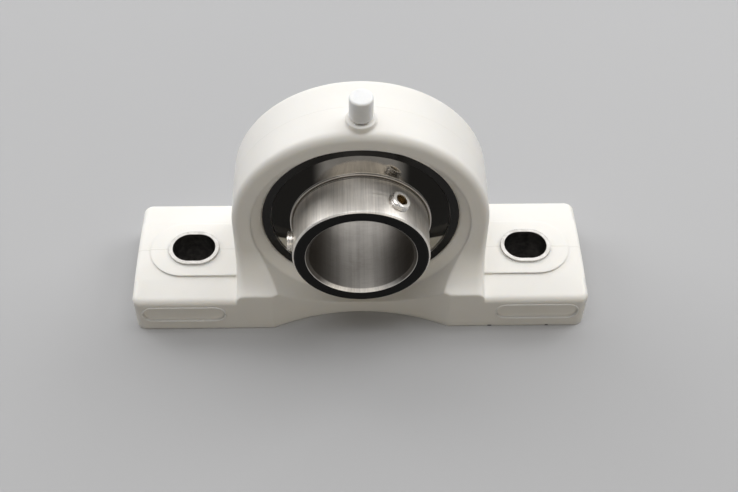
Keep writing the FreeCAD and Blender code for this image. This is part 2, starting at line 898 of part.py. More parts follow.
# Balls and cage


def build_ball(number):
    ball = doc.addObject("Part::Sphere", f"ball_{number + 1}")
    ball.setExpression("Radius", S["ball_radius"].formula)
    angle = as_size(FULL_TURN * number) / S["ball_count"]
    put(ball,
        x=S["pitch_radius"] * angle.sine(),
        z=S["shaft_height"] + S["pitch_radius"] * angle.cosine())
    return ball


def build_cage_half(name, sign):
    """Pressed half cage: a flat strip with a round pocket for each ball."""
    body = new_body(name)
    inner = S["inner_ring_radius"] + S["cage_inner_gap"]
    outer = S["ring_land_radius"] - S["cage_outer_gap"]
    thickness = S["cage_thickness"]
    pitch = S["pitch_radius"]
    pocket_radius = S["ball_radius"] + S["cage_pocket_clearance"]
    strip = new_sketch(body, "strip_profile", "YZ_Plane")
    outline(strip, [
        (0, inner),
        (thickness * sign, inner),
        (thickness * sign, outer),
        (0, outer),
    ])
    turn(body, "Revolution", "strip", strip, "H_Axis")
    shell = body.newObject("PartDesign::AdditiveSphere", f"{name}_pocket_shell")
    shell.setExpression("Radius", (pocket_radius + thickness).formula)
    place_on_pitch(body, shell, sign)
    polar(body, "pocket_shells", shell, "Y_Axis")
    trim = new_sketch(body, "trim_profile", "YZ_Plane")
    reach = pocket_radius + thickness + SHORT_MARGIN
    top = pitch + reach
    outline(trim, [
        (0, inner / 2),
        (reach * sign, inner / 2),
        (reach * sign, inner),
        (0, inner),
        (0, outer),
        (reach * sign, outer),
        (reach * sign, top),
        (-reach * sign, top),
        (-reach * sign, inner / 2),
    ])
    turn(body, "Groove", "trim", trim, "H_Axis")
    hollow = body.newObject("PartDesign::SubtractiveSphere", f"{name}_pocket")
    hollow.setExpression("Radius", pocket_radius.formula)
    place_on_pitch(body, hollow, sign)
    polar(body, "pockets", hollow, "Y_Axis")
    hole = body.newObject("PartDesign::SubtractiveCylinder", f"{name}_rivet_hole")
    hole.setExpression("Radius", (S["rivet_radius"] + S["rivet_clearance"]).formula)
    hole.setExpression("Height", ((thickness + SHORT_MARGIN) * 2).formula)
    half_step = as_size(HALF_TURN) / S["ball_count"]
    hole.AttachmentSupport = (origin_feature(body, "XY_Plane"), [""])
    hole.MapMode = "FlatFace"
    hole.AttachmentOffset = FreeCAD.Placement(
        FreeCAD.Vector(0, 0, 0), FreeCAD.Rotation(FreeCAD.Vector(1, 0, 0), QUARTER_TURN))
    hole.setExpression("AttachmentOffset.Base.x", (pitch * half_step.sine()).formula)
    hole.setExpression("AttachmentOffset.Base.y", (thickness + SHORT_MARGIN).formula)
    hole.setExpression("AttachmentOffset.Base.z", (pitch * half_step.cosine()).formula)
    body.Tip = hole
    polar(body, "rivet_holes", hole, "Y_Axis")
    put(body, z=S["shaft_height"])
    return body


def place_on_pitch(body, sphere, sign):
    """Centre a sphere at the top of the balls' circle, its seam on the side that is cut off."""
    sphere.AttachmentSupport = (origin_feature(body, "XY_Plane"), [""])
    sphere.MapMode = "FlatFace"
    sphere.AttachmentOffset = FreeCAD.Placement(
        FreeCAD.Vector(0, 0, 0), FreeCAD.Rotation(FreeCAD.Vector(0, 0, 1), -QUARTER_TURN * sign))
    sphere.setExpression("AttachmentOffset.Base.z", S["pitch_radius"].formula)
    body.Tip = sphere


def build_cage_rivets():
    """One rivet in each web between two balls, headed on both sides."""
    rivets = []
    for number in range(int(S["ball_count"].value)):
        body = new_body(f"cage_rivet_{number + 1}")
        profile = new_sketch(body, "rivet_profile", "YZ_Plane")
        grip = S["cage_thickness"]
        end = grip + S["rivet_head_height"]
        outline(profile, [
            (-end, 0),
            (end, 0),
            (end, S["rivet_head_radius"]),
            (grip, S["rivet_head_radius"]),
            (grip, S["rivet_radius"]),
            (-grip, S["rivet_radius"]),
            (-grip, S["rivet_head_radius"]),
            (-end, S["rivet_head_radius"]),
        ])
        turn(body, "Revolution", "rivet", profile, "H_Axis")
        angle = as_size(FULL_TURN * (number + 0.5)) / S["ball_count"]
        put(body,
            x=S["pitch_radius"] * angle.sine(),
            z=S["shaft_height"] + S["pitch_radius"] * angle.cosine())
        rivets.append(body)
    group = doc.addObject("Part::Compound", "cage_rivets")
    group.Links = rivets
    return group


# Seals and flingers: each is turned round the shaft's line, and built once for the
# front (sign -1) and once for the rear (sign 1).


def build_turned_part(name, sign, points):
    body = new_body(name)
    profile = new_sketch(body, "turned_profile", "YZ_Plane")
    outline(profile, [(as_size(along) * sign, out) for along, out in points])
    turn(body, "Revolution", "turned", profile, "H_Axis")
    put(body, z=S["shaft_height"])
    return body


SHIELD_INNER_RADIUS = S["inner_ring_radius"] + S["shield_inner_gap"]


def build_seal_shield(name, sign):
    """Steel washer snapped into the outer ring; it stiffens the rubber lip."""
    gap = S["shield_clearance"]
    near = S["seal_seat_start"] + gap
    far = S["seal_seat_start"] + S["seal_bead_width"] - gap
    inner = SHIELD_INNER_RADIUS
    outer = S["seal_bead_radius"] - gap
    return build_turned_part(name, sign, [
        (near, inner), (far, inner), (far, outer), (near, outer)])


def build_seal_lip(name, sign):
    """Rubber moulded over the shield's face and inner edge, down to the inner ring."""
    near = S["seal_seat_start"] + S["shield_clearance"]
    shield_face = S["seal_seat_start"] + S["seal_bead_width"] - S["shield_clearance"]
    far = shield_face + S["lip_face_thickness"]
    inner = S["inner_ring_radius"] + S["lip_clearance"]
    outer = S["seal_seat_radius"] - S["flinger_gap"]
    return build_turned_part(name, sign, [
        (near, inner),
        (far, inner),
        (far, outer),
        (shield_face, outer),
        (shield_face, SHIELD_INNER_RADIUS),
        (near, SHIELD_INNER_RADIUS),
    ])


def build_flinger(name, sign):
    """Dished steel disc pressed on the inner ring; it turns with it and throws dirt off."""
    inner = S["inner_ring_radius"] + S["flinger_fit"]
    disc_back = S["flinger_face"] - S["flinger_thickness"]
    dish = S["flinger_dish"]
    outer = S["seal_seat_radius"] - S["flinger_gap"]
    collar = S["inner_ring_radius"] + S["flinger_collar_wall"]
    return build_turned_part(name, sign, [
        (disc_back + dish, inner),
        (S["flinger_collar_end"], inner),
        (S["flinger_collar_end"], collar),
        (S["flinger_face"] + dish, collar),
        (S["flinger_face"], outer),
        (disc_back, outer),
    ])


# Set screws


def build_set_screw(side, angle):
    """Socket screw across the inner ring; its cup point grips the shaft."""
    body = new_body(f"set_screw_{side}")
    low = S["bore_radius"] + S["screw_tip_gap"]
    radius = S["screw_radius"]
    chamfer = S["screw_edge_chamfer"]
    high = low + S["screw_length"]
    profile = new_sketch(body, "turned_profile", "XZ_Plane")
    outline(profile, [
        (0, low + S["screw_tip_height"] / 2),
        (S["screw_tip_radius"] / 2, low),
        (S["screw_tip_radius"], low),
        (radius, low + S["screw_tip_height"]),
        (radius, high - chamfer),
        (radius - chamfer, high),
        (0, high),
    ])
    turn(body, "Revolution", "turned", profile, "V_Axis")
    socket = new_sketch(body, "socket_outline", "XY_Plane", lift=high)
    hexagon(socket, S["screw_socket_across_flats"])
    pocket(body, "socket", socket, S["screw_socket_depth"])
    body.Placement = FreeCAD.Placement(
        FreeCAD.Vector(0, SCREW_Y.value, S["shaft_height"].value),
        FreeCAD.Rotation(FreeCAD.Vector(0, 1, 0), angle.value))
    body.setExpression("Placement.Rotation.Angle", angle.formula)
    put(body, y=SCREW_Y, z=S["shaft_height"])
    return body


def build_all():
    """Every separate piece, from the housing inwards."""
    parts = [build_housing()]
    parts += [build_bolt_sleeve("left", -1), build_bolt_sleeve("right", 1)]
    parts += [build_nipple_body(), build_nipple_ball(), build_nipple_spring()]
    parts += [build_nipple_cap()]
    parts += [build_outer_ring(), build_inner_ring()]
    parts += [build_ball(number) for number in range(int(S["ball_count"].value))]
    parts += [build_cage_half("cage_front", -1), build_cage_half("cage_rear", 1)]
    parts += [build_cage_rivets()]
    for place, sign in (("front", -1), ("rear", 1)):
        parts.append(build_seal_shield(f"seal_shield_{place}", sign))
        parts.append(build_seal_lip(f"seal_lip_{place}", sign))
        parts.append(build_flinger(f"flinger_{place}", sign))
    parts += [build_set_screw(side, angle) for side, angle in SCREW_ANGLES]
    return parts


def check_and_write(parts):
    doc.recompute()
    for item in doc.Objects:
        if "Invalid" in item.State or "Error" in item.State:
            raise RuntimeError(f"{item.Label} could not be computed")
    for part in parts:
        if part.Shape.isNull() or not part.Shape.isValid():
            raise RuntimeError(f"{part.Label} has no valid shape")
    os.makedirs("parts", exist_ok=True)
    for part in parts:
        part.Shape.exportStep(os.path.join("parts", f"{part.Label}.step"))
        print(part.Label, "solids", len(part.Shape.Solids), "volume", round(part.Shape.Volume, 1))


check_and_write(build_all())
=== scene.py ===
"""Dresses the pillow block bearing: finishes for the CAD nodes, the threads of the set screws,
the beads round the two recesses, the valve spring and the studio."""

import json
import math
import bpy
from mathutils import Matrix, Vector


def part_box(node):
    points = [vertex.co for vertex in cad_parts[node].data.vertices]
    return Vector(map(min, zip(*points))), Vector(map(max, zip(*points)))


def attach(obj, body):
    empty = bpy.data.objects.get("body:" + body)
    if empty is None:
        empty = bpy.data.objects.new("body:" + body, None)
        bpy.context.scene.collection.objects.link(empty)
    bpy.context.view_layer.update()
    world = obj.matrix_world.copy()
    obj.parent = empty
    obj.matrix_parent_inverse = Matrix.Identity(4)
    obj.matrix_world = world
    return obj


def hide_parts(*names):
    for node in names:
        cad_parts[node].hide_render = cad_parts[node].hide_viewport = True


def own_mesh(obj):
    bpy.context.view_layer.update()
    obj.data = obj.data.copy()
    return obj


bl_info = {
    "name": "Pillow Block Bearing",
    "version": (1, 0, 0),
    "blender": (4, 5, 0),
    "location": "3D View > Sidebar > Bearing",
    "description": "Finishes, threaded screws, beads, spring and studio for the bearing",
    "category": "Object",
}

import bmesh
import bpy
from mathutils import Matrix, Vector

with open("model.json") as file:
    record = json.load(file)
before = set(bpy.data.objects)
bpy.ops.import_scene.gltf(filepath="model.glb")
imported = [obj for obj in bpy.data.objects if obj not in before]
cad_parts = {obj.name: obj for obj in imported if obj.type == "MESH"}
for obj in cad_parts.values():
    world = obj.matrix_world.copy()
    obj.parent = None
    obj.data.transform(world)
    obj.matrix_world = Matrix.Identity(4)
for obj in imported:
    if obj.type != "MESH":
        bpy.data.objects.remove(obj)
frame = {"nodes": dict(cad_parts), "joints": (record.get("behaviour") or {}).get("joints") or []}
NODES = frame["nodes"]
JOINTS = {joint["name"]: joint for joint in frame["joints"]}
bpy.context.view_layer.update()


def half_width(node_name):
    low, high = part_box(node_name)
    return (high.x - low.x) / 2


# Places and sizes on the CAD part, in metres. The seam lies a gap past the flinger, and each
# nick has its place along the foot and half its width.
SHAFT_HEIGHT = JOINTS["inner_ring_spin"]["pos_m"][2]
RING_RADIUS = half_width("inner_ring")
OUTER_RADIUS = half_width("outer_ring")
BORE_RADIUS = 0.020
FRONT_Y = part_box("housing")[0].y
SEAM_GAP = 0.0006
GROOVE_Y = max(abs(corner.y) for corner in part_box("flinger_front")) + SEAM_GAP
SLEEVE_STAND = 0.0010
SLEEVE_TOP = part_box("bolt_sleeve_left")[1].z
PAD_TOP = SLEEVE_TOP - SLEEVE_STAND
PAD_EDGE_X = 0.053
PAD_EDGE_Y = 0.0148
SLOT_X = 0.0685
SLOT_STRAIGHT = 0.0017
SLOT_RADIUS = 0.0071
RECESS_X = 0.0716
RECESS_Z = 0.0096
RECESS_RADIUS = 0.004
RECESS_STRAIGHT = 0.0125
NICKS = ((0.0530, 0.0011), (0.0766, 0.0008))

# Pieces that this script builds, in metres; the socket's mouth is a share of its width
BEAD_RADIUS = 0.00038
BEAD_GAP = 0.00035
BEAD_STAND = 0.00005
SPRING_WIRE = 0.00015
SPRING_PITCH = 0.0010
SCREW_LEAD = 0.0005
SCREW_CUP = 0.0026
SCREW_POINT = 0.0014
SOCKET_CHAMFER = 0.00022
SOCKET_MOUTH = 1.10
SOCKET_CONE = 0.0006

# How far red, green and blue light reach into the plastics, against each other
LIGHT_REACH = (1.0, 0.92, 0.78)

# Colours of marks and small pieces, and of painted shade, painted highlights and painted
# reflections
# Painted shade: near-black tone that stands in for the shade inside the two nicks
NICK_SHADE_TONE = (0.03, 0.028, 0.025)
STAIN_TONE = (0.42, 0.37, 0.30)
# Painted shade in the bore towards its sides, and on the upper half of the chamfer at the bore's
# mouth
BORE_SHADE_TONE = (0.050, 0.040, 0.029)
MOUTH_SHADE_TONE = (0.055, 0.045, 0.034)
GROOVE_TONE = (0.07, 0.06, 0.05)
# Painted highlight along the inner and outer edges of the ring faces
RIM_HIGHLIGHT_TONE = (0.10, 0.097, 0.094)
# Painted reflection of the housing's white lip on the lower part of the flingers
FLINGER_FOOT_REFLECTION_TONE = (0.66, 0.64, 0.58)
COLLAR_TONE = (0.20, 0.175, 0.145)
COLLAR_SEAM_TONE = (0.03, 0.027, 0.023)
RUST_TONE = (0.34, 0.28, 0.21)
SOCKET_TONE = (0.36, 0.28, 0.17)
# Painted shade on the sleeve's wall inside the slot
SLEEVE_WALL_SHADE_TONES = ((0.060, 0.056, 0.052), (0.125, 0.115, 0.105))
SLEEVE_RIM_TONES = ((0.62, 0.60, 0.57), (0.46, 0.44, 0.41))
RUBBER_TONES = ((0.016, 0.016, 0.017), (0.032, 0.031, 0.030))
NIPPLE_TONE = (0.66, 0.65, 0.63)
CHECK_BALL_TONE = (0.62, 0.61, 0.60)
BALL_TONE = (0.68, 0.68, 0.68)
CAGE_TONE = (0.55, 0.54, 0.52)
SHIELD_TONE = (0.30, 0.29, 0.28)

# Studio: each lamp's name, the setting that holds its power, its size and its place
LAMPS = (
    ("rear_lamp", "rear_power", (2.8, 0.6), (0.02, 0.85, 1.30)),
    ("top_lamp", "top_power", (1.7, 0.5), (0.02, -0.05, 1.50)),
    ("rear_card", "card_power", (2.6, 0.9), (0.02, 1.35, 0.75)),
    ("front_fill", "fill_power", (2.0, 0.8), (0.25, -1.35, 0.27)),
    ("left_card", "left_power", (1.2, 1.1), (-1.45, 0.75, 0.80)),
    ("right_card", "right_power", (0.9, 0.7), (1.25, 0.55, 1.00)),
)
FLOOR_HALF_SIZE = 2.2
FLOOR_DROP = 0.00002
PICTURE_WIDTH = 738.0
SENSOR_WIDTH = 36.0


# Sizes and colours that a user would change


class PlasticSettings(bpy.types.PropertyGroup):
    tone: bpy.props.FloatVectorProperty(
        name="Plastic tone", description="Colour of the moulded housing",
        subtype="COLOR", size=3, min=0, max=1, default=(0.885, 0.864, 0.820))
    cap_tone: bpy.props.FloatVectorProperty(
        name="Cap tone", description="Colour of the nipple's dust cap",
        subtype="COLOR", size=3, min=0, max=1, default=(0.90, 0.895, 0.88))
    soil_tone: bpy.props.FloatVectorProperty(
        name="Soil tone", description="Colour of the faint handling marks and dust",
        subtype="COLOR", size=3, min=0, max=1, default=(0.60, 0.56, 0.49))
    grain: bpy.props.FloatProperty(
        name="Mould grain", description="Size of the fine grain left by the mould",
        subtype="DISTANCE", unit="LENGTH", default=0.0007, min=0.0001, max=0.01)
    grain_depth: bpy.props.FloatProperty(
        name="Grain depth", description="Height of the mould grain",
        subtype="DISTANCE", unit="LENGTH", default=0.000012, min=0, max=0.001)
    edge_softness: bpy.props.FloatProperty(
        name="Edge softness", description="How far light wraps round the moulded edges",
        subtype="DISTANCE", unit="LENGTH", default=0.0016, min=0, max=0.005)
    roughness: bpy.props.FloatProperty(
        name="Roughness", description="Roughness of the moulded skin",
        subtype="FACTOR", default=0.44, min=0, max=1)


class SteelSettings(bpy.types.PropertyGroup):
    ground_tone: bpy.props.FloatVectorProperty(
        name="Ground steel", description="Colour of the ground cylinders of the rings",
        subtype="COLOR", size=3, min=0, max=1, default=(0.92, 0.88, 0.825))
    # Painted dark reflection: the end faces of the rings get a near-black copy of the steel
    face_dark_reflection: bpy.props.FloatVectorProperty(
        name="Ring faces", description="Colour of the flat end faces of the rings",
        subtype="COLOR", size=3, min=0, max=1, default=(0.014, 0.0135, 0.0130))
    # The flinger's tone is the painted reflection at its top; its sides get a painted dark
    # reflection
    flinger_tone: bpy.props.FloatVectorProperty(
        name="Flinger", description="Colour of the polished flingers",
        subtype="COLOR", size=3, min=0, max=1, default=(0.32, 0.30, 0.27))
    screw_tone: bpy.props.FloatVectorProperty(
        name="Screw steel", description="Colour of the set screws",
        subtype="COLOR", size=3, min=0, max=1, default=(0.86, 0.83, 0.79))
    line_spacing: bpy.props.FloatProperty(
        name="Grinding lines", description="Distance between the grinding lines",
        subtype="DISTANCE", unit="LENGTH", default=0.00022, min=0.00005, max=0.002)
    line_depth: bpy.props.FloatProperty(
        name="Line depth", description="Depth of the grinding lines",
        subtype="DISTANCE", unit="LENGTH", default=0.0000025, min=0, max=0.0001)


class ScrewSettings(bpy.types.PropertyGroup):
    pitch: bpy.props.FloatProperty(
        name="Thread pitch", description="Distance from one thread to the next",
        subtype="DISTANCE", unit="LENGTH", default=0.0010, min=0.0004, max=0.003)
    thread_depth: bpy.props.FloatProperty(
        name="Thread depth", description="Depth of the thread below the screw's outside",
        subtype="DISTANCE", unit="LENGTH", default=0.00060, min=0.0001, max=0.002)
    socket: bpy.props.FloatProperty(
        name="Socket", description="Width across the flats of the hexagon socket",
        subtype="DISTANCE", unit="LENGTH", default=0.004, min=0.001, max=0.006)
    socket_depth: bpy.props.FloatProperty(
        name="Socket depth", description="Depth of the hexagon socket",
        subtype="DISTANCE", unit="LENGTH", default=0.004, min=0.001, max=0.006)


class StudioSettings(bpy.types.PropertyGroup):
    floor_tone: bpy.props.FloatVectorProperty(
        name="Floor", description="Colour of the plain floor",
        subtype="COLOR", size=3, min=0, max=1, default=(0.46, 0.46, 0.465))
    bounce_tone: bpy.props.FloatVectorProperty(
        name="Floor bounce", description="Colour that the floor throws back onto the bearing",
        subtype="COLOR", size=3, min=0, max=1, default=(0.10, 0.10, 0.105))
    world_tone: bpy.props.FloatVectorProperty(
        name="Room", description="Colour of the light that comes from all round",
        subtype="COLOR", size=3, min=0, max=1, default=(0.80, 0.82, 0.86))
    world_level: bpy.props.FloatProperty(
        name="Room light", description="Level of the light that comes from all round",
        default=0.03, min=0, max=2)
    backdrop_level: bpy.props.FloatProperty(
        name="Backdrop", description="Level of the room where the camera or a reflection shows it",
        default=0.40, min=0, max=1)
    rear_power: bpy.props.FloatProperty(
        name="Rear lamp", description="Power of the wide lamp above and behind",
        subtype="POWER", unit="POWER", default=7.3, min=0, max=500)
    top_power: bpy.props.FloatProperty(
        name="Top lamp", description="Power of the soft lamp straight above",
        subtype="POWER", unit="POWER", default=10.4, min=0, max=500)
    card_power: bpy.props.FloatProperty(
        name="Rear card", description="Power of the low wide card behind the bearing",
        subtype="POWER", unit="POWER", default=8.5, min=0, max=500)
    fill_power: bpy.props.FloatProperty(
        name="Front fill", description="Power of the weak low lamp in front",
        subtype="POWER", unit="POWER", default=6.0, min=0, max=500)
    fill_tone: bpy.props.FloatVectorProperty(
        name="Fill tone", description="Colour of the weak low lamp in front",
        subtype="COLOR", size=3, min=0, max=1, default=(1.0, 0.93, 0.80))
    left_power: bpy.props.FloatProperty(
        name="Left card", description="Power of the low card on the left",
        subtype="POWER", unit="POWER", default=13.0, min=0, max=500)
    right_power: bpy.props.FloatProperty(
        name="Right card", description="Power of the small card on the right",
        subtype="POWER", unit="POWER", default=9.5, min=0, max=500)
    camera_place: bpy.props.FloatVectorProperty(
        name="Camera", description="Place of the camera",
        subtype="TRANSLATION", unit="LENGTH", size=3, default=(-0.0051, -0.3061, 0.3862))
    camera_pitch: bpy.props.FloatProperty(
        name="Camera pitch", description="Angle of the view below the horizon",
        subtype="ANGLE", unit="ROTATION", default=math.radians(50.08))
    camera_heading: bpy.props.FloatProperty(
        name="Camera heading", description="Angle of the view to the right of straight ahead",
        subtype="ANGLE", unit="ROTATION", default=math.radians(1.64))
    camera_roll: bpy.props.FloatProperty(
        name="Camera roll", description="Turn of the camera about its own line of sight",
        subtype="ANGLE", unit="ROTATION", default=math.radians(0.77))
    focal_pixels: bpy.props.FloatProperty(
        name="Focal length", description="Focal length in pixels of the photograph",
        default=1154.0, min=100, max=5000)


SETTINGS = {
    "bearing_plastic": PlasticSettings,
    "bearing_steel": SteelSettings,
    "bearing_screw": ScrewSettings,
    "bearing_studio": StudioSettings,
}


# Node helpers


class Finish:
    """One procedural finish round a Principled shader."""

    def __init__(self, name, metallic=0.0, roughness=0.5, **constants):
        self.material = bpy.data.materials.new(name)
        self.material.use_nodes = True
        self.nodes = self.material.node_tree.nodes
        self.links = self.material.node_tree.links
        self.nodes.clear()
        self.shader = self.nodes.new("ShaderNodeBsdfPrincipled")
        output = self.nodes.new("ShaderNodeOutputMaterial")
        self.links.new(self.shader.outputs["BSDF"], output.inputs["Surface"])
        self.shader.inputs["Metallic"].default_value = metallic
        self.shader.inputs["Roughness"].default_value = roughness
        for socket, value in constants.items():
            self.shader.inputs[socket.replace("_", " ")].default_value = value
        self.place = self.nodes.new("ShaderNodeTexCoord")
        split = self.nodes.new("ShaderNodeSeparateXYZ")
        self.links.new(self.place.outputs["Object"], split.inputs[0])
        self.x, self.y, self.z = split.outputs

    def feed(self, socket, value):
        """Link a value into a socket, or set it if it is a plain number or colour."""
        if isinstance(value, bpy.types.NodeSocket):
            self.links.new(value, socket)
        elif hasattr(value, "__len__") and len(value) == 3 and socket.type == "RGBA":
            socket.default_value = (*value, 1.0)
        else:
            socket.default_value = value

    def calculate(self, operation, first, second=0.0):
        """One step of arithmetic on values or plain numbers."""
        node = self.nodes.new("ShaderNodeMath")
        node.operation = operation
        self.feed(node.inputs[0], first)
        self.feed(node.inputs[1], second)
        return node.outputs[0]

    def plus(self, first, second):
        return self.calculate("ADD", first, second)

    def minus(self, first, second):
        return self.calculate("SUBTRACT", first, second)

    def times(self, first, second):
        return self.calculate("MULTIPLY", first, second)

    def larger(self, first, second):
        return self.calculate("MAXIMUM", first, second)

    def magnitude(self, value):
        return self.calculate("ABSOLUTE", value)

    def length(self, across, up):
        """Length of a line that runs this far across and this far up."""
        squares = self.plus(self.times(across, across), self.times(up, up))
        return self.calculate("SQRT", squares)

    def remap(self, value, low, high, to_low=0.0, to_high=1.0):
        """Smooth step of a value from one range to another."""
        node = self.nodes.new("ShaderNodeMapRange")
        node.interpolation_type = "SMOOTHSTEP"
        self.feed(node.inputs["Value"], value)
        for name, number in (
            ("From Min", low), ("From Max", high), ("To Min", to_low), ("To Max", to_high)
        ):
            node.inputs[name].default_value = number
        return node.outputs["Result"]

    def point(self, x, y, z):
        node = self.nodes.new("ShaderNodeCombineXYZ")
        for socket, value in zip(node.inputs, (x, y, z)):
            self.feed(socket, value)
        return node.outputs[0]

    def noise(self, size, detail=2.0, blend=0.5, at=None):
        """Noise from 0 to 1 whose lumps are about size metres wide."""
        node = self.nodes.new("ShaderNodeTexNoise")
        node.inputs["Scale"].default_value = 1.0 / size
        node.inputs["Detail"].default_value = detail
        node.inputs["Roughness"].default_value = blend
        self.links.new(at or self.place.outputs["Object"], node.inputs["Vector"])
        return node.outputs["Fac"]

    def mix(self, share, first, second):
        """The first colour where the share is 0, the second where it is 1."""
        node = self.nodes.new("ShaderNodeMix")
        node.data_type = "RGBA"
        self.feed(node.inputs["Factor"], share)
        self.feed(node.inputs["A"], first)
        self.feed(node.inputs["B"], second)
        return node.outputs["Result"]

    def distance_from_axis(self):
        return self.length(self.x, self.minus(self.z, SHAFT_HEIGHT))

    def angle_round_axis(self):
        return self.calculate("ARCTAN2", self.x, self.minus(self.z, SHAFT_HEIGHT))

    def facing(self, axis):
        """How much the surface faces along one axis of the object, from 0 to 1."""
        split = self.nodes.new("ShaderNodeSeparateXYZ")
        self.links.new(self.place.outputs["Normal"], split.inputs[0])
        return self.magnitude(split.outputs["XYZ".index(axis)])

    def soft_edges(self, radius):
        """Normals that run round each edge as if it had this radius."""
        node = self.nodes.new("ShaderNodeBevel")
        node.samples = 6
        node.inputs["Radius"].default_value = radius
        return node.outputs["Normal"]

    def lean_upwards(self, normal, share):
        """Turn a normal towards straight up by a share from 0 to 1."""
        up = self.point(0.0, 0.0, self.times(share, 2.6))
        total = self.nodes.new("ShaderNodeVectorMath")
        total.operation = "ADD"
        self.links.new(normal, total.inputs[0])
        self.links.new(up, total.inputs[1])
        unit = self.nodes.new("ShaderNodeVectorMath")
        unit.operation = "NORMALIZE"
        self.links.new(total.outputs[0], unit.inputs[0])
        return unit.outputs[0]

    def bump(self, height, depth, normal=None):
        node = self.nodes.new("ShaderNodeBump")
        node.inputs["Strength"].default_value = 1.0
        node.inputs["Distance"].default_value = depth
        self.links.new(height, node.inputs["Height"])
        if normal is not None:
            self.links.new(normal, node.inputs["Normal"])
        return node.outputs["Normal"]

    def colour(self, value):
        self.feed(self.shader.inputs["Base Color"], value)

    def gloss(self, value):
        self.feed(self.shader.inputs["Roughness"], value)

    def relief(self, normal):
        self.links.new(normal, self.shader.inputs["Normal"])

    def brush_round_axis(self, amount):
        """Lines round the shaft's axis, so highlights stretch along it."""
        tangent = self.nodes.new("ShaderNodeTangent")
        tangent.direction_type = "RADIAL"
        tangent.axis = "Y"
        self.links.new(tangent.outputs["Tangent"], self.shader.inputs["Tangent"])
        self.shader.inputs["Anisotropic"].default_value = amount
        self.shader.inputs["Anisotropic Rotation"].default_value = 0.25


def directly_seen(nodes, links):
    """1 for what the camera, a reflection or glass shows, 0 for light that only bounces."""
    path = nodes.new("ShaderNodeLightPath")
    seen = path.outputs["Is Camera Ray"]
    for ray in ("Is Glossy Ray", "Is Transmission Ray"):
        either = nodes.new("ShaderNodeMath")
        either.operation = "MAXIMUM"
        links.new(seen, either.inputs[0])
        links.new(path.outputs[ray], either.inputs[1])
        seen = either.outputs[0]
    return seen


def darker(tone, share):
    """The same colour at a share of its brightness, or lighter where the share is over 1."""
    return tuple(channel * share for channel in tone)


def wear_finish(node_name, finish):
    """Give all of a CAD node's surface one finish."""
    for slot in NODES[node_name].material_slots:
        slot.material = finish.material


# Finishes


def moulded_plastic(name, settings, softness):
    """White moulded plastic: fine grain, cloudy tone, parting line, painted shade in the nicks, and
    handling marks.
    """
    finish = Finish(
        name, roughness=settings.roughness, IOR=1.52,
        Subsurface_Weight=0.5, Subsurface_Radius=LIGHT_REACH, Subsurface_Scale=0.0016)
    tone = tuple(settings.tone)
    soil = tuple(settings.soil_tone)
    cloud = finish.remap(finish.noise(0.045, 3.0, 0.6), 0.35, 0.7)
    body = finish.mix(cloud, tone, darker(tone, 0.975))
    smudge = finish.remap(finish.noise(0.011, 5.0, 0.65), 0.60, 0.80, 0.0, 0.16)
    low = finish.remap(finish.z, 0.0, 0.030, 1.0, 0.25)
    body = finish.mix(finish.times(smudge, low), body, soil)
    parting = finish.remap(finish.magnitude(finish.y), 0.00010, 0.00045, 1.0, 0.0)
    share = finish.remap(finish.z, 0.020, 0.045, 0.20, 0.05)
    body = finish.mix(finish.times(parting, share), body, soil)
    # Painted shade: the nicks get a near-black tone for the shade in their hollows
    finish.colour(finish.mix(nick_shade_mask(finish), body, NICK_SHADE_TONE))
    finish.gloss(finish.remap(
        finish.noise(0.006, 4.0, 0.6), 0.2, 0.8,
        settings.roughness - 0.06, settings.roughness + 0.08))
    soft = finish.lean_upwards(finish.soft_edges(softness), pad_walls(finish))
    flow = finish.bump(finish.noise(0.018, 2.0, 0.4), 0.00006, soft)
    grain = finish.bump(finish.noise(settings.grain, 3.0, 0.6), settings.grain_depth, flow)
    finish.relief(finish.bump(parting, 0.00005, grain))
    return finish


def nick_shade_mask(finish):
    """Painted shade: 1 on the two small nicks in the lower front edge of the right foot, 0
    elsewhere.
    """
    columns = [
        finish.remap(finish.magnitude(finish.minus(finish.x, x)), width * 0.5, width, 1.0, 0.0)
        for x, width in NICKS]
    edge = finish.remap(finish.z, 0.0004, 0.0009, 1.0, 0.0)
    front = finish.remap(finish.y, FRONT_Y + 0.0003, FRONT_Y + 0.0010, 1.0, 0.0)
    return finish.times(finish.times(finish.larger(*columns), edge), front)


def pad_walls(finish):
    """1 on the low rounded walls of the two raised pads, 0 elsewhere."""
    beside = finish.remap(
        finish.magnitude(finish.y), PAD_EDGE_Y, PAD_EDGE_Y + 0.0008, 1.0, 0.0)
    outward = finish.remap(finish.magnitude(finish.x), PAD_EDGE_X, PAD_EDGE_X + 0.004)
    above_foot = finish.remap(finish.z, PAD_TOP - 0.0021, PAD_TOP - 0.0016)
    under_top = finish.remap(finish.z, PAD_TOP + 0.0002, PAD_TOP + 0.0005, 1.0, 0.0)
    height = finish.times(above_foot, under_top)
    return finish.times(finish.times(beside, outward), height)


def cap_plastic(settings):
    """Softer, whiter plastic of the dust cap."""
    finish = Finish(
        "cap_plastic", roughness=0.38, IOR=1.5,
        Subsurface_Weight=0.7, Subsurface_Radius=LIGHT_REACH, Subsurface_Scale=0.0020)
    tone = tuple(settings.cap_tone)
    cloud = finish.remap(finish.noise(0.003, 3.0, 0.6), 0.3, 0.75)
    finish.colour(finish.mix(cloud, tone, darker(tone, 0.95)))
    finish.gloss(finish.remap(finish.noise(0.0012, 3.0, 0.6), 0.2, 0.8, 0.30, 0.46))
    soft = finish.soft_edges(0.00025)
    finish.relief(finish.bump(finish.noise(0.0005, 2.0, 0.5), 0.000008, soft))
    return finish


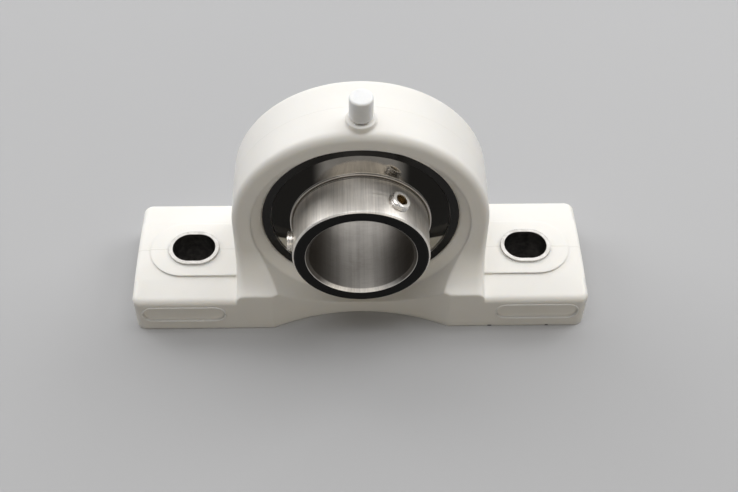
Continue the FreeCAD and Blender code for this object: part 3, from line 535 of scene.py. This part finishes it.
def turned_steel(name, tone, face_dark_reflection, settings, edges, face_gloss=0.2):
    """Ring steel: ground along the shaft's line, with painted shade in the bore, and a painted dark
    reflection with painted edge highlights on the smooth end faces.

    The edges are the inner and the outer radius of the end faces.
    """
    roughness = 0.38
    finish = Finish(name, metallic=1.0, roughness=roughness)
    radius = finish.distance_from_axis()
    angle = finish.angle_round_axis()
    lines_at = finish.point(radius, finish.y, finish.times(angle, 0.0004))
    lines = finish.noise(settings.line_spacing, 4.0, 0.7, lines_at)
    in_bore = finish.remap(radius, BORE_RADIUS + 0.0001, BORE_RADIUS + 0.0002, 1.0, 0.0)
    is_face = finish.remap(finish.facing("Y"), 0.86, 0.92)
    body = worn_cylinder(finish, tone, angle, in_bore)
    body = shaded_bore(finish, body, radius, in_bore)
    from_groove = finish.magnitude(finish.minus(finish.magnitude(finish.y), GROOVE_Y))
    outside = finish.remap(radius, RING_RADIUS - 0.0012, RING_RADIUS - 0.0008, 0.0, 0.75)
    groove = finish.remap(from_groove, 0.00006, 0.00022, 1.0, 0.0)
    body = finish.mix(finish.times(groove, outside), body, GROOVE_TONE)
    # Painted highlight: a lighter tone round the inner and outer edges of each end face
    rims = finish.larger(
        finish.remap(radius, edges[1] - 0.0014, edges[1] - 0.0003),
        finish.remap(radius, edges[0] + 0.0003, edges[0] + 0.0012, 1.0, 0.0))
    face = finish.mix(finish.times(rims, 0.4), face_dark_reflection, RIM_HIGHLIGHT_TONE)
    # Painted dark reflection on the end faces, where they face along the shaft
    finish.colour(finish.mix(is_face, body, face))
    rough = finish.remap(lines, 0.3, 0.7, roughness - 0.06, roughness + 0.10)
    rough = finish.plus(rough, finish.times(in_bore, 0.20))
    finish.gloss(finish.plus(
        finish.times(rough, finish.minus(1.0, is_face)), finish.times(is_face, face_gloss)))
    soft = finish.soft_edges(0.0005)
    finish.relief(finish.bump(lines, settings.line_depth, soft))
    finish.brush_round_axis(0.55)
    return finish


def worn_cylinder(finish, tone, angle, in_bore):
    """Streaks along the shaft's line and faint stains over the ground steel's colour."""
    arc = finish.times(angle, RING_RADIUS)
    streaks_at = finish.point(arc, finish.times(finish.y, 0.02), 0.0)
    streaks = finish.remap(finish.noise(0.0006, 4.0, 0.7, streaks_at), 0.42, 0.68)
    broad = finish.remap(finish.noise(0.004, 3.0, 0.6, streaks_at), 0.35, 0.7)
    stain = finish.remap(finish.noise(0.007, 4.0, 0.65), 0.45, 0.75)
    body = finish.mix(broad, tone, darker(tone, 0.84))
    body = finish.mix(finish.times(stain, 0.22), body, STAIN_TONE)
    streak_share = finish.minus(0.34, finish.times(in_bore, 0.20))
    return finish.mix(finish.times(streaks, streak_share), body, darker(tone, 0.42))


def shaded_bore(finish, body, radius, in_bore):
    """Painted shade: darken the bore towards its sides, and the upper half of the chamfer at its
    mouth.
    """
    in_mouth = finish.remap(radius, BORE_RADIUS + 0.0010, BORE_RADIUS + 0.0013, 1.0, 0.0)
    sides = finish.remap(finish.magnitude(finish.x), 0.003, BORE_RADIUS, 0.47, 0.96)
    body = finish.mix(finish.times(in_bore, sides), body, BORE_SHADE_TONE)
    above = finish.remap(finish.z, SHAFT_HEIGHT - 0.020, SHAFT_HEIGHT - 0.012, 0.0, 0.92)
    chamfer = finish.minus(in_mouth, in_bore)
    return finish.mix(finish.times(chamfer, above), body, MOUTH_SHADE_TONE)


def polished_flinger(settings):
    """Polished washer with painted reflections: a painted highlight on its collar's ridge, bright
    at its top and foot, and a painted dark reflection at its sides.
    """
    tone = tuple(settings.flinger_tone)
    finish = Finish("flinger_steel", metallic=1.0, roughness=0.08)
    radius = finish.distance_from_axis()
    across = finish.magnitude(finish.x)
    up = finish.minus(finish.z, SHAFT_HEIGHT)
    # Painted reflection: bright at the top and at the foot, and a painted dark reflection at the
    # sides
    top = finish.times(
        finish.remap(across, 0.0120, 0.0185, 1.0, 0.0), finish.remap(up, 0.0, 0.004))
    foot = finish.remap(up, -0.0115, -0.0105, 1.0, 0.0)
    wash = finish.remap(finish.noise(0.006, 3.0, 0.6), 0.3, 0.75)
    bright = finish.mix(wash, tone, darker(tone, 0.86))
    body = finish.mix(top, darker(tone, 0.07), bright)
    body = finish.mix(foot, body, FLINGER_FOOT_REFLECTION_TONE)
    collar = finish.remap(radius, RING_RADIUS + 0.0011, RING_RADIUS + 0.0013, 1.0, 0.0)
    # Painted highlight: a light ground-steel tone along the collar's ridge
    ridge = finish.remap(radius, RING_RADIUS + 0.0006, RING_RADIUS + 0.0009)
    seam = finish.remap(radius, RING_RADIUS + 0.0001, RING_RADIUS + 0.0003, 1.0, 0.0)
    band = finish.mix(ridge, COLLAR_TONE, darker(settings.ground_tone, 0.75))
    band = finish.mix(seam, band, COLLAR_SEAM_TONE)
    finish.colour(finish.mix(collar, body, band))
    rough = finish.remap(finish.noise(0.0009, 4.0, 0.65), 0.25, 0.8, 0.05, 0.13)
    finish.gloss(finish.plus(rough, finish.times(collar, 0.26)))
    soft = finish.soft_edges(0.0003)
    finish.relief(finish.bump(finish.noise(0.0004, 3.0, 0.6), 0.0000012, soft))
    return finish


def plain_steel(name, tone, roughness, size=0.002, depth=0.000006, stain=0.2):
    """Machined or pressed steel with fine scratches and faint stains."""
    finish = Finish(name, metallic=1.0, roughness=roughness)
    patches = finish.remap(finish.noise(size * 3, 4.0, 0.65), 0.4, 0.75)
    cloud = finish.remap(finish.noise(size, 3.0, 0.6), 0.3, 0.7)
    body = finish.mix(cloud, tone, darker(tone, 0.82))
    finish.colour(finish.mix(finish.times(patches, stain), body, RUST_TONE))
    finish.gloss(finish.remap(
        finish.noise(size * 0.5, 4.0, 0.65), 0.25, 0.75, roughness - 0.07, roughness + 0.12))
    soft = finish.soft_edges(0.00018)
    finish.relief(finish.bump(finish.noise(size * 0.25, 3.0, 0.6), depth, soft))
    return finish


def threaded_steel(tone, settings):
    """Bright screw steel, brown inside the hexagon socket."""
    finish = Finish("screw_steel", metallic=1.0, roughness=0.16)
    patches = finish.remap(finish.noise(0.0015, 4.0, 0.65), 0.4, 0.75)
    body = finish.mix(finish.times(patches, 0.3), tone, darker(tone, 0.6))
    out = finish.length(finish.x, finish.y)
    in_socket = finish.remap(out, settings.socket * 0.56, settings.socket * 0.60, 1.0, 0.0)
    finish.colour(finish.mix(in_socket, body, SOCKET_TONE))
    rough = finish.remap(finish.noise(0.0006, 4.0, 0.65), 0.25, 0.75, 0.20, 0.34)
    on_end = finish.remap(finish.facing("Z"), 0.85, 0.95, 0.0, 0.25)
    finish.gloss(finish.plus(rough, on_end))
    soft = finish.soft_edges(0.00012)
    finish.relief(finish.bump(finish.noise(0.0003, 3.0, 0.6), 0.000003, soft))
    return finish


def sleeve_steel():
    """Cut tube: bright rims, and painted shade on the wall round the slot."""
    finish = Finish("sleeve_steel", metallic=1.0, roughness=0.36)
    patches = finish.remap(finish.noise(0.003, 4.0, 0.65), 0.35, 0.7)
    # Painted shade: the wall inside the slot gets a dark copy of the steel
    wall = finish.mix(patches, *SLEEVE_WALL_SHADE_TONES)
    rim = finish.mix(patches, *SLEEVE_RIM_TONES)
    along = finish.magnitude(finish.minus(finish.magnitude(finish.x), SLOT_X))
    past = finish.larger(finish.minus(along, SLOT_STRAIGHT), 0.0)
    out = finish.length(past, finish.y)
    on_top = finish.remap(finish.z, SLEEVE_TOP - 0.0004, SLEEVE_TOP - 0.0001)
    outside = finish.remap(out, SLOT_RADIUS + 0.0003, SLOT_RADIUS + 0.0006)
    finish.colour(finish.mix(finish.larger(on_top, outside), wall, rim))
    finish.gloss(finish.remap(finish.noise(0.0008, 4.0, 0.65), 0.25, 0.75, 0.34, 0.50))
    soft = finish.soft_edges(0.00025)
    finish.relief(finish.bump(finish.noise(0.0005, 3.0, 0.6), 0.000008, soft))
    return finish


def seal_rubber():
    """Dull black rubber of the sealing lips."""
    finish = Finish("seal_rubber", roughness=0.6)
    cloud = finish.remap(finish.noise(0.003, 4.0, 0.6), 0.3, 0.75)
    finish.colour(finish.mix(cloud, *RUBBER_TONES))
    finish.gloss(finish.remap(finish.noise(0.001, 3.0, 0.6), 0.2, 0.8, 0.5, 0.7))
    soft = finish.soft_edges(0.0002)
    finish.relief(finish.bump(finish.noise(0.0004, 3.0, 0.6), 0.00001, soft))
    return finish


# Mesh helpers


def hexagon_reach(angle, across_flats):
    """Distance from a hexagon's middle to its outline in one direction."""
    sector = math.radians(60)
    from_flat = (angle % sector) - sector / 2
    return across_flats / 2 / math.cos(from_flat)


def thread_height(phase):
    """Height of a thread's section, 0 at the root and 1 on the crest, at one phase of the pitch."""
    crest_share = 0.2
    root_share = 0.14
    flank = (1.0 - crest_share - root_share) / 2
    phase = phase % 1.0
    if phase < crest_share:
        return 1.0
    down = (phase - crest_share) / flank
    up = (1.0 - phase) / flank
    return max(0.0, 1.0 - min(down, up))


def ring_of_points(mesh, radius_at, height, sides):
    """Points round the Z axis at one height, each at the radius given for its angle."""
    ring = []
    for step in range(sides):
        angle = 2 * math.pi * step / sides
        radius = radius_at(angle)
        place = Vector((radius * math.cos(angle), radius * math.sin(angle), height))
        ring.append(mesh.verts.new(place))
    return ring


def skin(mesh, lower, upper):
    """Faces between two rings of the same count."""
    count = len(lower)
    for step in range(count):
        after = (step + 1) % count
        mesh.faces.new((lower[step], lower[after], upper[after], upper[step]))


def close_ring(mesh, ring, height, looks_up):
    """Fan of faces from a ring to a point on the Z axis."""
    middle = mesh.verts.new((0, 0, height))
    count = len(ring)
    for step in range(count):
        after = (step + 1) % count
        face = (ring[step], ring[after], middle) if looks_up else (ring[after], ring[step], middle)
        mesh.faces.new(face)


def wire_ring(mesh, place, out, across, radius, sides):
    """Points round a wire at one place, in the plane of two directions."""
    ring = []
    for side in range(sides):
        turn = 2 * math.pi * side / sides
        offset = out * math.cos(turn) + across * math.sin(turn)
        ring.append(mesh.verts.new(place + offset * radius))
    return ring


def smooth_data(name, mesh):
    """Turn a bmesh into smooth mesh data whose faces look outward."""
    bmesh.ops.recalc_face_normals(mesh, faces=mesh.faces[:])
    data = bpy.data.meshes.new(name)
    mesh.to_mesh(data)
    mesh.free()
    data.shade_smooth()
    return data


def add_piece(context, name, data, material):
    """Put a mesh in the scene with one material."""
    piece = bpy.data.objects.new(name, data)
    context.scene.collection.objects.link(piece)
    data.materials.append(material)
    return piece


def screw_mesh(name, radius, length, settings):
    """Threaded set screw along +Z from its cup point at 0 to its socket end."""
    sides = 72
    rows_per_pitch = 14
    pitch = settings.pitch
    depth = settings.thread_depth
    rows = int(length / pitch * rows_per_pitch)

    def outline_at(height):
        from_point = SCREW_CUP + (radius - SCREW_CUP) * min(1.0, height / SCREW_POINT)
        from_end = radius - SCREW_LEAD * max(0.0, 1.0 - (length - height) / SCREW_LEAD)
        return min(from_point, from_end)

    def socket_at(angle):
        return hexagon_reach(angle, settings.socket)

    mesh = bmesh.new()
    rings = []
    for row in range(rows + 1):
        height = length * row / rows
        limit = outline_at(height)

        def radius_at(angle, height=height, limit=limit):
            phase = height / pitch - angle / (2 * math.pi)
            ideal = radius - depth * (1.0 - thread_height(phase))
            return min(limit, ideal)

        rings.append(ring_of_points(mesh, radius_at, height, sides))
    for lower, upper in zip(rings, rings[1:]):
        skin(mesh, lower, upper)
    bottom = length - settings.socket_depth
    mouth = ring_of_points(mesh, lambda angle: socket_at(angle) * SOCKET_MOUTH, length, sides)
    edge = ring_of_points(mesh, socket_at, length - SOCKET_CHAMFER, sides)
    foot = ring_of_points(mesh, socket_at, bottom, sides)
    skin(mesh, rings[-1], mouth)
    skin(mesh, mouth, edge)
    skin(mesh, edge, foot)
    close_ring(mesh, foot, bottom - SOCKET_CONE, True)
    rim = ring_of_points(mesh, lambda angle: SCREW_CUP * 0.5, 0.0007, sides)
    skin(mesh, rim, rings[0])
    close_ring(mesh, rim, 0.0009, False)
    data = smooth_data(name, mesh)
    data.set_sharp_from_angle(angle=math.radians(32))
    return data


def bead_mesh(name, centre, half_length, radius):
    """Rounded bead that runs round a long recess, on a wall that faces -Y."""
    sides = 12
    arc_steps = 16
    across = Vector((0, 1, 0))
    places = []
    for end in (1, -1):
        for step in range(arc_steps + 1):
            angle = math.pi * (0.5 - step / arc_steps)
            out = Vector((math.cos(angle) * end, 0, math.sin(angle) * end))
            places.append((Vector((half_length * end, 0, 0)) + out * radius, out))
    mesh = bmesh.new()
    rings = [
        wire_ring(mesh, centre + place, out, across, BEAD_RADIUS, sides) for place, out in places]
    for first, second in zip(rings, rings[1:] + rings[:1]):
        skin(mesh, first, second)
    return smooth_data(name, mesh)


def coil_mesh(name, centre, low, high, radius):
    """Compression spring from low to high, its last turns closed at both ends."""
    steps = 36
    sides = 10
    upward = Vector((0, 0, 1))
    closed = SPRING_WIRE * 2.05
    active = (high - low - 2 * SPRING_WIRE - 2 * closed) / SPRING_PITCH
    turns = active + 2.0
    count = int(turns * steps)
    mesh = bmesh.new()
    rings = []
    for step in range(count + 1):
        turn = turns * step / count
        rise = closed * min(turn, 1.0) + SPRING_PITCH * min(max(turn - 1.0, 0.0), active)
        rise += closed * max(turn - 1.0 - active, 0.0)
        angle = 2 * math.pi * turn
        out = Vector((math.cos(angle), math.sin(angle), 0))
        place = centre + out * radius + Vector((0, 0, low + SPRING_WIRE + rise))
        rings.append(wire_ring(mesh, place, out, upward, SPRING_WIRE, sides))
    for lower, upper in zip(rings, rings[1:]):
        skin(mesh, lower, upper)
    mesh.faces.new(rings[0])
    mesh.faces.new(rings[-1])
    return smooth_data(name, mesh)


# Operators: one for each piece or group of like pieces


class FinishHousing(bpy.types.Operator):
    """Give the housing its moulded plastic"""

    bl_idname = "bearing.finish_housing"
    bl_label = "Housing"

    def execute(self, context):
        settings = context.scene.bearing_plastic
        wear_finish("housing", moulded_plastic("moulded_plastic", settings, settings.edge_softness))
        return {"FINISHED"}


class BuildRecessBeads(bpy.types.Operator):
    """Build the rounded bead round each bare recess on the front of the feet"""

    bl_idname = "bearing.build_recess_beads"
    bl_label = "Recess beads"

    def execute(self, context):
        plastic = moulded_plastic("bead_plastic", context.scene.bearing_plastic, 0.0001).material
        for side, sign in (("left", -1), ("right", 1)):
            name = f"recess_bead_{side}"
            centre = Vector((RECESS_X * sign, FRONT_Y + BEAD_STAND, RECESS_Z))
            data = bead_mesh(name, centre, RECESS_STRAIGHT, RECESS_RADIUS + BEAD_GAP)
            piece = add_piece(context, name, data, plastic)
            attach(piece, "pillow")
        return {"FINISHED"}


class FinishBoltSleeves(bpy.types.Operator):
    """Give the two bolt sleeves their turned steel"""

    bl_idname = "bearing.finish_bolt_sleeves"
    bl_label = "Bolt sleeves"

    def execute(self, context):
        steel = sleeve_steel()
        for side in ("left", "right"):
            wear_finish(f"bolt_sleeve_{side}", steel)
        return {"FINISHED"}


class FinishGreaseNipple(bpy.types.Operator):
    """Give the grease nipple, its check ball and cap their finishes, and build its spring"""

    bl_idname = "bearing.finish_grease_nipple"
    bl_label = "Grease nipple"

    def execute(self, context):
        steel = plain_steel("nipple_steel", NIPPLE_TONE, 0.24, size=0.001)
        wear_finish("nipple_body", steel)
        self.build_spring(context, steel)
        wear_finish("nipple_check_ball", plain_steel("check_ball_steel", CHECK_BALL_TONE, 0.12))
        wear_finish("nipple_cap", cap_plastic(context.scene.bearing_plastic))
        return {"FINISHED"}

    def build_spring(self, context, steel):
        """Coil under the check ball, in the place of the CAD spring."""
        low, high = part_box("nipple_spring")
        centre = Vector(((low.x + high.x) / 2, (low.y + high.y) / 2, 0))
        radius = (high.x - low.x) / 2 - SPRING_WIRE
        data = coil_mesh("valve_spring", centre, low.z, high.z, radius)
        piece = add_piece(context, "valve_spring", data, steel.material)
        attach(piece, "pillow")
        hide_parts("nipple_spring")
        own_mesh(piece)


class FinishRings(bpy.types.Operator):
    """Give the inner and outer rings their ground steel"""

    bl_idname = "bearing.finish_rings"
    bl_label = "Rings"

    def execute(self, context):
        settings = context.scene.bearing_steel
        tone = tuple(settings.ground_tone)
        face = tuple(settings.face_dark_reflection)
        # Both rings get a painted dark reflection on their end faces, lighter on the outer ring
        wear_finish("inner_ring", turned_steel(
            "inner_ring_steel", tone, face, settings, (BORE_RADIUS, RING_RADIUS)))
        wear_finish("outer_ring", turned_steel(
            "outer_ring_steel", darker(tone, 0.8), darker(face, 2.2), settings,
            (0.0, OUTER_RADIUS), face_gloss=0.26))
        return {"FINISHED"}


class FinishBallsAndCage(bpy.types.Operator):
    """Give the balls, the two cage halves and the rivets their steel"""

    bl_idname = "bearing.finish_balls_and_cage"
    bl_label = "Balls and cage"

    def execute(self, context):
        ball = plain_steel("ball_steel", BALL_TONE, 0.08, depth=0.000001, stain=0.05)
        for name in NODES:
            if name.startswith("ball_"):
                wear_finish(name, ball)
        pressed = plain_steel("cage_steel", CAGE_TONE, 0.34)
        for name in ("cage_front", "cage_rear", "cage_rivets"):
            wear_finish(name, pressed)
        return {"FINISHED"}


class FinishSeals(bpy.types.Operator):
    """Give the shields, the rubber lips and the flingers their finishes"""

    bl_idname = "bearing.finish_seals"
    bl_label = "Seals and flingers"

    def execute(self, context):
        settings = context.scene.bearing_steel
        shield = plain_steel("shield_steel", SHIELD_TONE, 0.36)
        rubber = seal_rubber()
        flinger = polished_flinger(settings)
        for side in ("front", "rear"):
            wear_finish(f"seal_shield_{side}", shield)
            wear_finish(f"seal_lip_{side}", rubber)
            wear_finish(f"flinger_{side}", flinger)
        return {"FINISHED"}


class BuildSetScrews(bpy.types.Operator):
    """Build the two threaded set screws where the plain CAD ones stand"""

    bl_idname = "bearing.build_set_screws"
    bl_label = "Set screws"

    def execute(self, context):
        settings = context.scene.bearing_screw
        steel = threaded_steel(tuple(context.scene.bearing_steel.screw_tone), settings)
        for side in ("right", "left"):
            self.build(context, side, settings, steel)
        return {"FINISHED"}

    def build(self, context, side, settings, steel):
        """Set one screw on the line along which its joint backs it out."""
        node = NODES[f"set_screw_{side}"]
        axis = Vector(JOINTS[f"screw_{side}_back_off"]["axis"]).normalized()
        centre = Vector((0, 0, SHAFT_HEIGHT))
        places = [vertex.co for vertex in node.data.vertices]
        along = [(place - centre).dot(axis) for place in places]
        low, high = min(along), max(along)
        middle_y = (min(p.y for p in places) + max(p.y for p in places)) / 2
        radius = (max(p.y for p in places) - min(p.y for p in places)) / 2
        start = centre + axis * low + Vector((0, middle_y, 0))
        name = f"threaded_screw_{side}"
        data = screw_mesh(name, radius, high - low, settings)
        piece = add_piece(context, name, data, steel.material)
        turn = axis.to_track_quat("Z", "Y").to_matrix().to_4x4()
        piece.matrix_world = Matrix.Translation(start) @ turn
        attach(piece, f"screw_{side}")
        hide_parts(node.name)


class BuildStudio(bpy.types.Operator):
    """Build the floor, the lamps, the room light and the camera"""

    bl_idname = "bearing.build_studio"
    bl_label = "Studio"

    def execute(self, context):
        settings = context.scene.bearing_studio
        self.build_floor(context, settings)
        self.build_room(context, settings)
        self.build_lamps(context, settings)
        self.build_camera(context, settings)
        context.scene.view_settings.view_transform = "Standard"
        return {"FINISHED"}

    def build_floor(self, context, settings):
        """Pale paper that throws little light back, as the photograph's dark table does."""
        finish = Finish("floor_paper", roughness=0.75)
        tone = tuple(settings.floor_tone)
        cloud = finish.remap(finish.noise(0.25, 2.0, 0.5), 0.3, 0.7)
        seen = directly_seen(finish.nodes, finish.links)
        paper = finish.mix(cloud, tone, darker(tone, 0.985))
        finish.colour(finish.mix(seen, tuple(settings.bounce_tone), paper))
        mesh = bmesh.new()
        bmesh.ops.create_grid(mesh, x_segments=8, y_segments=8, size=FLOOR_HALF_SIZE)
        data = bpy.data.meshes.new("floor")
        mesh.to_mesh(data)
        mesh.free()
        floor = add_piece(context, "floor", data, finish.material)
        floor.location.z = -FLOOR_DROP

    def build_room(self, context, settings):
        """Dim light from all round, in a room that looks pale where it is seen."""
        world = bpy.data.worlds.new("room")
        world.use_nodes = True
        nodes = world.node_tree.nodes
        links = world.node_tree.links
        background = nodes["Background"]
        background.inputs["Color"].default_value = (*settings.world_tone, 1.0)
        level = nodes.new("ShaderNodeMapRange")
        links.new(directly_seen(nodes, links), level.inputs["Value"])
        level.inputs["To Min"].default_value = settings.world_level
        level.inputs["To Max"].default_value = settings.backdrop_level
        links.new(level.outputs["Result"], background.inputs["Strength"])
        context.scene.world = world

    def build_lamps(self, context, settings):
        for name, power, size, place in LAMPS:
            lamp = self.add_lamp(context, name, getattr(settings, power), size, place)
            if name == "front_fill":
                lamp.data.color = settings.fill_tone

    def add_lamp(self, context, name, power, size, place):
        """Soft rectangular lamp that looks at the middle of the bearing."""
        data = bpy.data.lights.new(name, "AREA")
        data.shape = "RECTANGLE"
        data.size, data.size_y = size
        data.energy = power
        lamp = bpy.data.objects.new(name, data)
        context.scene.collection.objects.link(lamp)
        lamp.location = place
        aim = Vector((0, 0, SHAFT_HEIGHT)) - Vector(place)
        lamp.rotation_euler = aim.to_track_quat("-Z", "Y").to_euler()
        return lamp

    def build_camera(self, context, settings):
        """Camera at the photograph's viewpoint, as fitted to the bearing's corners."""
        data = bpy.data.cameras.new("photo_camera")
        data.sensor_width = SENSOR_WIDTH
        data.lens = settings.focal_pixels * SENSOR_WIDTH / PICTURE_WIDTH
        data.clip_start = 0.01
        data.clip_end = 50.0
        camera = bpy.data.objects.new("photo_camera", data)
        context.scene.collection.objects.link(camera)
        camera.location = settings.camera_place
        heading = settings.camera_heading
        pitch = settings.camera_pitch
        ahead = Vector((
            math.sin(heading) * math.cos(pitch), math.cos(heading) * math.cos(pitch),
            -math.sin(pitch)))
        right = Vector((math.cos(heading), -math.sin(heading), 0))
        upward = right.cross(ahead)
        roll = settings.camera_roll
        across = right * math.cos(roll) + upward * math.sin(roll)
        above = upward * math.cos(roll) - right * math.sin(roll)
        camera.rotation_mode = "QUATERNION"
        camera.rotation_quaternion = Matrix((across, above, -ahead)).transposed().to_quaternion()
        context.scene.camera = camera


OPERATORS = (
    BuildStudio,
    FinishHousing,
    BuildRecessBeads,
    FinishBoltSleeves,
    FinishGreaseNipple,
    FinishRings,
    FinishBallsAndCage,
    FinishSeals,
    BuildSetScrews,
)


class BearingPanel(bpy.types.Panel):
    """Lists the sizes and colours, and a button for each operator"""

    bl_idname = "VIEW3D_PT_bearing"
    bl_label = "Pillow Block Bearing"
    bl_space_type = "VIEW_3D"
    bl_region_type = "UI"
    bl_category = "Bearing"

    def draw(self, context):
        layout = self.layout
        for name in SETTINGS:
            box = layout.box()
            settings = getattr(context.scene, name)
            for field in settings.__annotations__:
                box.prop(settings, field)
        for operator in OPERATORS:
            layout.operator(operator.bl_idname)


CLASSES = (*SETTINGS.values(), *OPERATORS, BearingPanel)


def register():
    for item in CLASSES:
        bpy.utils.register_class(item)
    for name, group in SETTINGS.items():
        setattr(bpy.types.Scene, name, bpy.props.PointerProperty(type=group))


def unregister():
    for name in SETTINGS:
        delattr(bpy.types.Scene, name)
    for item in reversed(CLASSES):
        bpy.utils.unregister_class(item)


def main():
    register()
    bpy.ops.bearing.build_studio()
    bpy.ops.bearing.finish_housing()
    bpy.ops.bearing.build_recess_beads()
    bpy.ops.bearing.finish_bolt_sleeves()
    bpy.ops.bearing.finish_grease_nipple()
    bpy.ops.bearing.finish_rings()
    bpy.ops.bearing.finish_balls_and_cage()
    bpy.ops.bearing.finish_seals()
    bpy.ops.bearing.build_set_screws()


if __name__ == "__main__":
    main()
